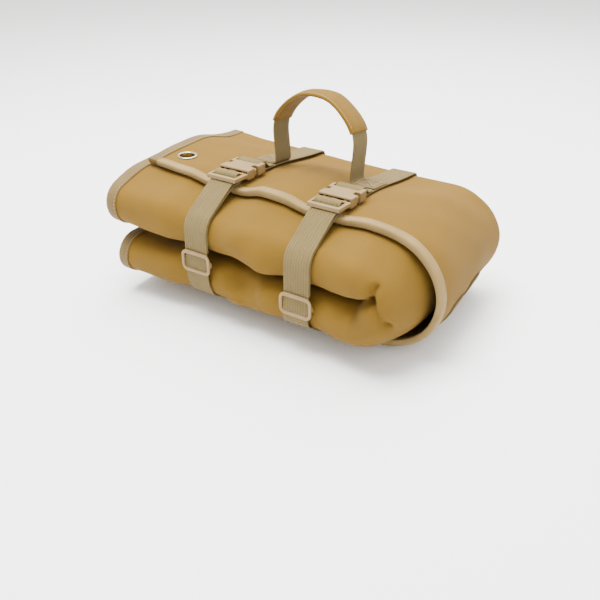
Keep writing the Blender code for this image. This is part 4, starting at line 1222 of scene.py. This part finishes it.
def joined(name, parts, finish):
    """Several closed shells, each of (points, faces), as one piece."""
    points, faces = [], []
    for part_points, part_faces in parts:
        faces += [tuple(i + len(points) for i in face) for face in part_faces]
        points += [tuple(point) for point in part_points]
    return outwards(mesh_object(name, points, faces, [(0.0, 0.0)] * len(points), finish))


def shell(rings, looped):
    """Points and faces of a shell through rings, closed on itself or with filled ends."""
    count, size = len(rings), len(rings[0])
    faces = []
    for k in range(count if looped else count - 1):
        after = (k + 1) % count
        for i in range(size):
            j = (i + 1) % size
            faces.append((k * size + i, k * size + j, after * size + j, after * size + i))
    if not looped:
        faces += [tuple(range(size))[::-1], tuple((count - 1) * size + i for i in range(size))]
    return [point for ring in rings for point in ring], faces


def rod_along(start, end, half_width, half_depth):
    """A bar with rounded ends along z or x or y, from start to end."""
    start, end = Vector(start), Vector(end)
    way = (end - start).normalized()
    side = Vector((0, 1, 0)) if abs(way.y) < 0.5 else Vector((1, 0, 0))
    other = way.cross(side)
    reach = (end - start).length
    rings = []
    for share, size in ((0.0, 0.5), (0.02, 0.85), (0.06, 1.0), (0.94, 1.0), (0.98, 0.85), (1.0, 0.5)):
        centre = start + way * reach * share
        rings.append([centre + (side * v + other * u) * size for u, v in oval(half_width, half_depth)])
    return shell(rings, False)


for side in ("left", "right"):
    low, high = (Vector(corner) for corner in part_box(f"{side}_slider"))
    middle, half = (low + high) / 2, (high - low) / 2
    bar, depth = SLIDER_BAR / 2, SLIDER_DEPTH / 2
    front_y, back_y = low.y + depth, high.y - depth
    edge_x = half.x - WEBBING_EDGE_BAR / 2
    rings = []
    for (x, z), way in rounded_loop(edge_x, half.z - bar, SLIDER_CORNER):
        thick = bar + (WEBBING_EDGE_BAR / 2 - bar) * abs(way[0])
        rings.append(
            [
                (middle.x + x + way[0] * u, front_y + v, middle.z + z + way[1] * u)
                for u, v in oval(thick, depth)
            ]
        )
    parts = [shell(rings, True)]
    for sign in (-1, 1):
        x = middle.x + sign * edge_x
        post = ((x, front_y, middle.z), (x, back_y, middle.z))
        parts.append(rod_along(*post, bar * POST_WIDENING, WEBBING_EDGE_BAR / 2))
    cross = ((middle.x - edge_x, back_y, middle.z), (middle.x + edge_x, back_y, middle.z))
    parts.append(rod_along(*cross, bar, depth))
    slider = joined(f"moulded_{side}_slider", parts, PLASTIC)
    stands_for(slider, "buckle_plastic", f"{side}_slider", body=f"{side}_slider")
    print("slider", side, "at", [round(value, 4) for value in middle])

# %% [markdown]
# ## Finishes on the frame's own hard pieces
#
# The buckles keep the frame's solids, whose shapes are what they should be, and get the moulded finish.

# %% Finishes on the hard pieces
for node_name, obj in frame["nodes"].items():
    if obj.hide_render:
        continue
    finish = PLASTIC
    obj.data.materials.clear()
    obj.data.materials.append(finish)
    for polygon in obj.data.polygons:
        polygon.material_index = 0
    print("finish", finish.name, "on", node_name)

# %% [markdown]
# ## The cloth's flat sizes and trims
#
# The flat size that each panel and each pocket was cut to is worked out, and the trims that are sewn to
# each panel are listed.

# %% The cloth's flat sizes and trims
TRIMS = {
    "flap_panel": [
        name for name in PIECES if "end_binding_flap" in name or "_flap_" in name or "ladder" in name
    ],
    "near_pocket_panel": [name for name in PIECES if "near_seam" in name or "near_pocket_divider" in name],
    "centre_panel": [name for name in PIECES if "side_binding" in name or "thread_side" in name],
    "far_pocket_panel": [name for name in PIECES if "far_seam" in name or "far_pocket_divider" in name],
    "tail_panel": [
        name
        for name in PIECES
        if "end_binding_tail" in name or "_tail_" in name or name == "thread_ends"
    ],
}
for panel, trims in TRIMS.items():
    flat = (MAT_WIDTH, PANEL_LENGTHS[panel])
    PIECES["canvas_" + panel]
for node, flat in POCKET_SIZES.items():
    panel = node.split("_")[0] + "_pocket_panel"
    PIECES["cloth_" + node]
    "canvas_" + panel
print(len(TRIMS) + len(POCKET_SIZES), "sheets declared")

# %% Size of the finished model
visual_box = [list(corner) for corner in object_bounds()]
for axis_name, low, high, cad_low, cad_high in zip("XYZ", *visual_box, *CAD_BOX):
    print(f"{axis_name}: {low:.4f} to {high:.4f} m, CAD {cad_low:.4f} to {cad_high:.4f} m")
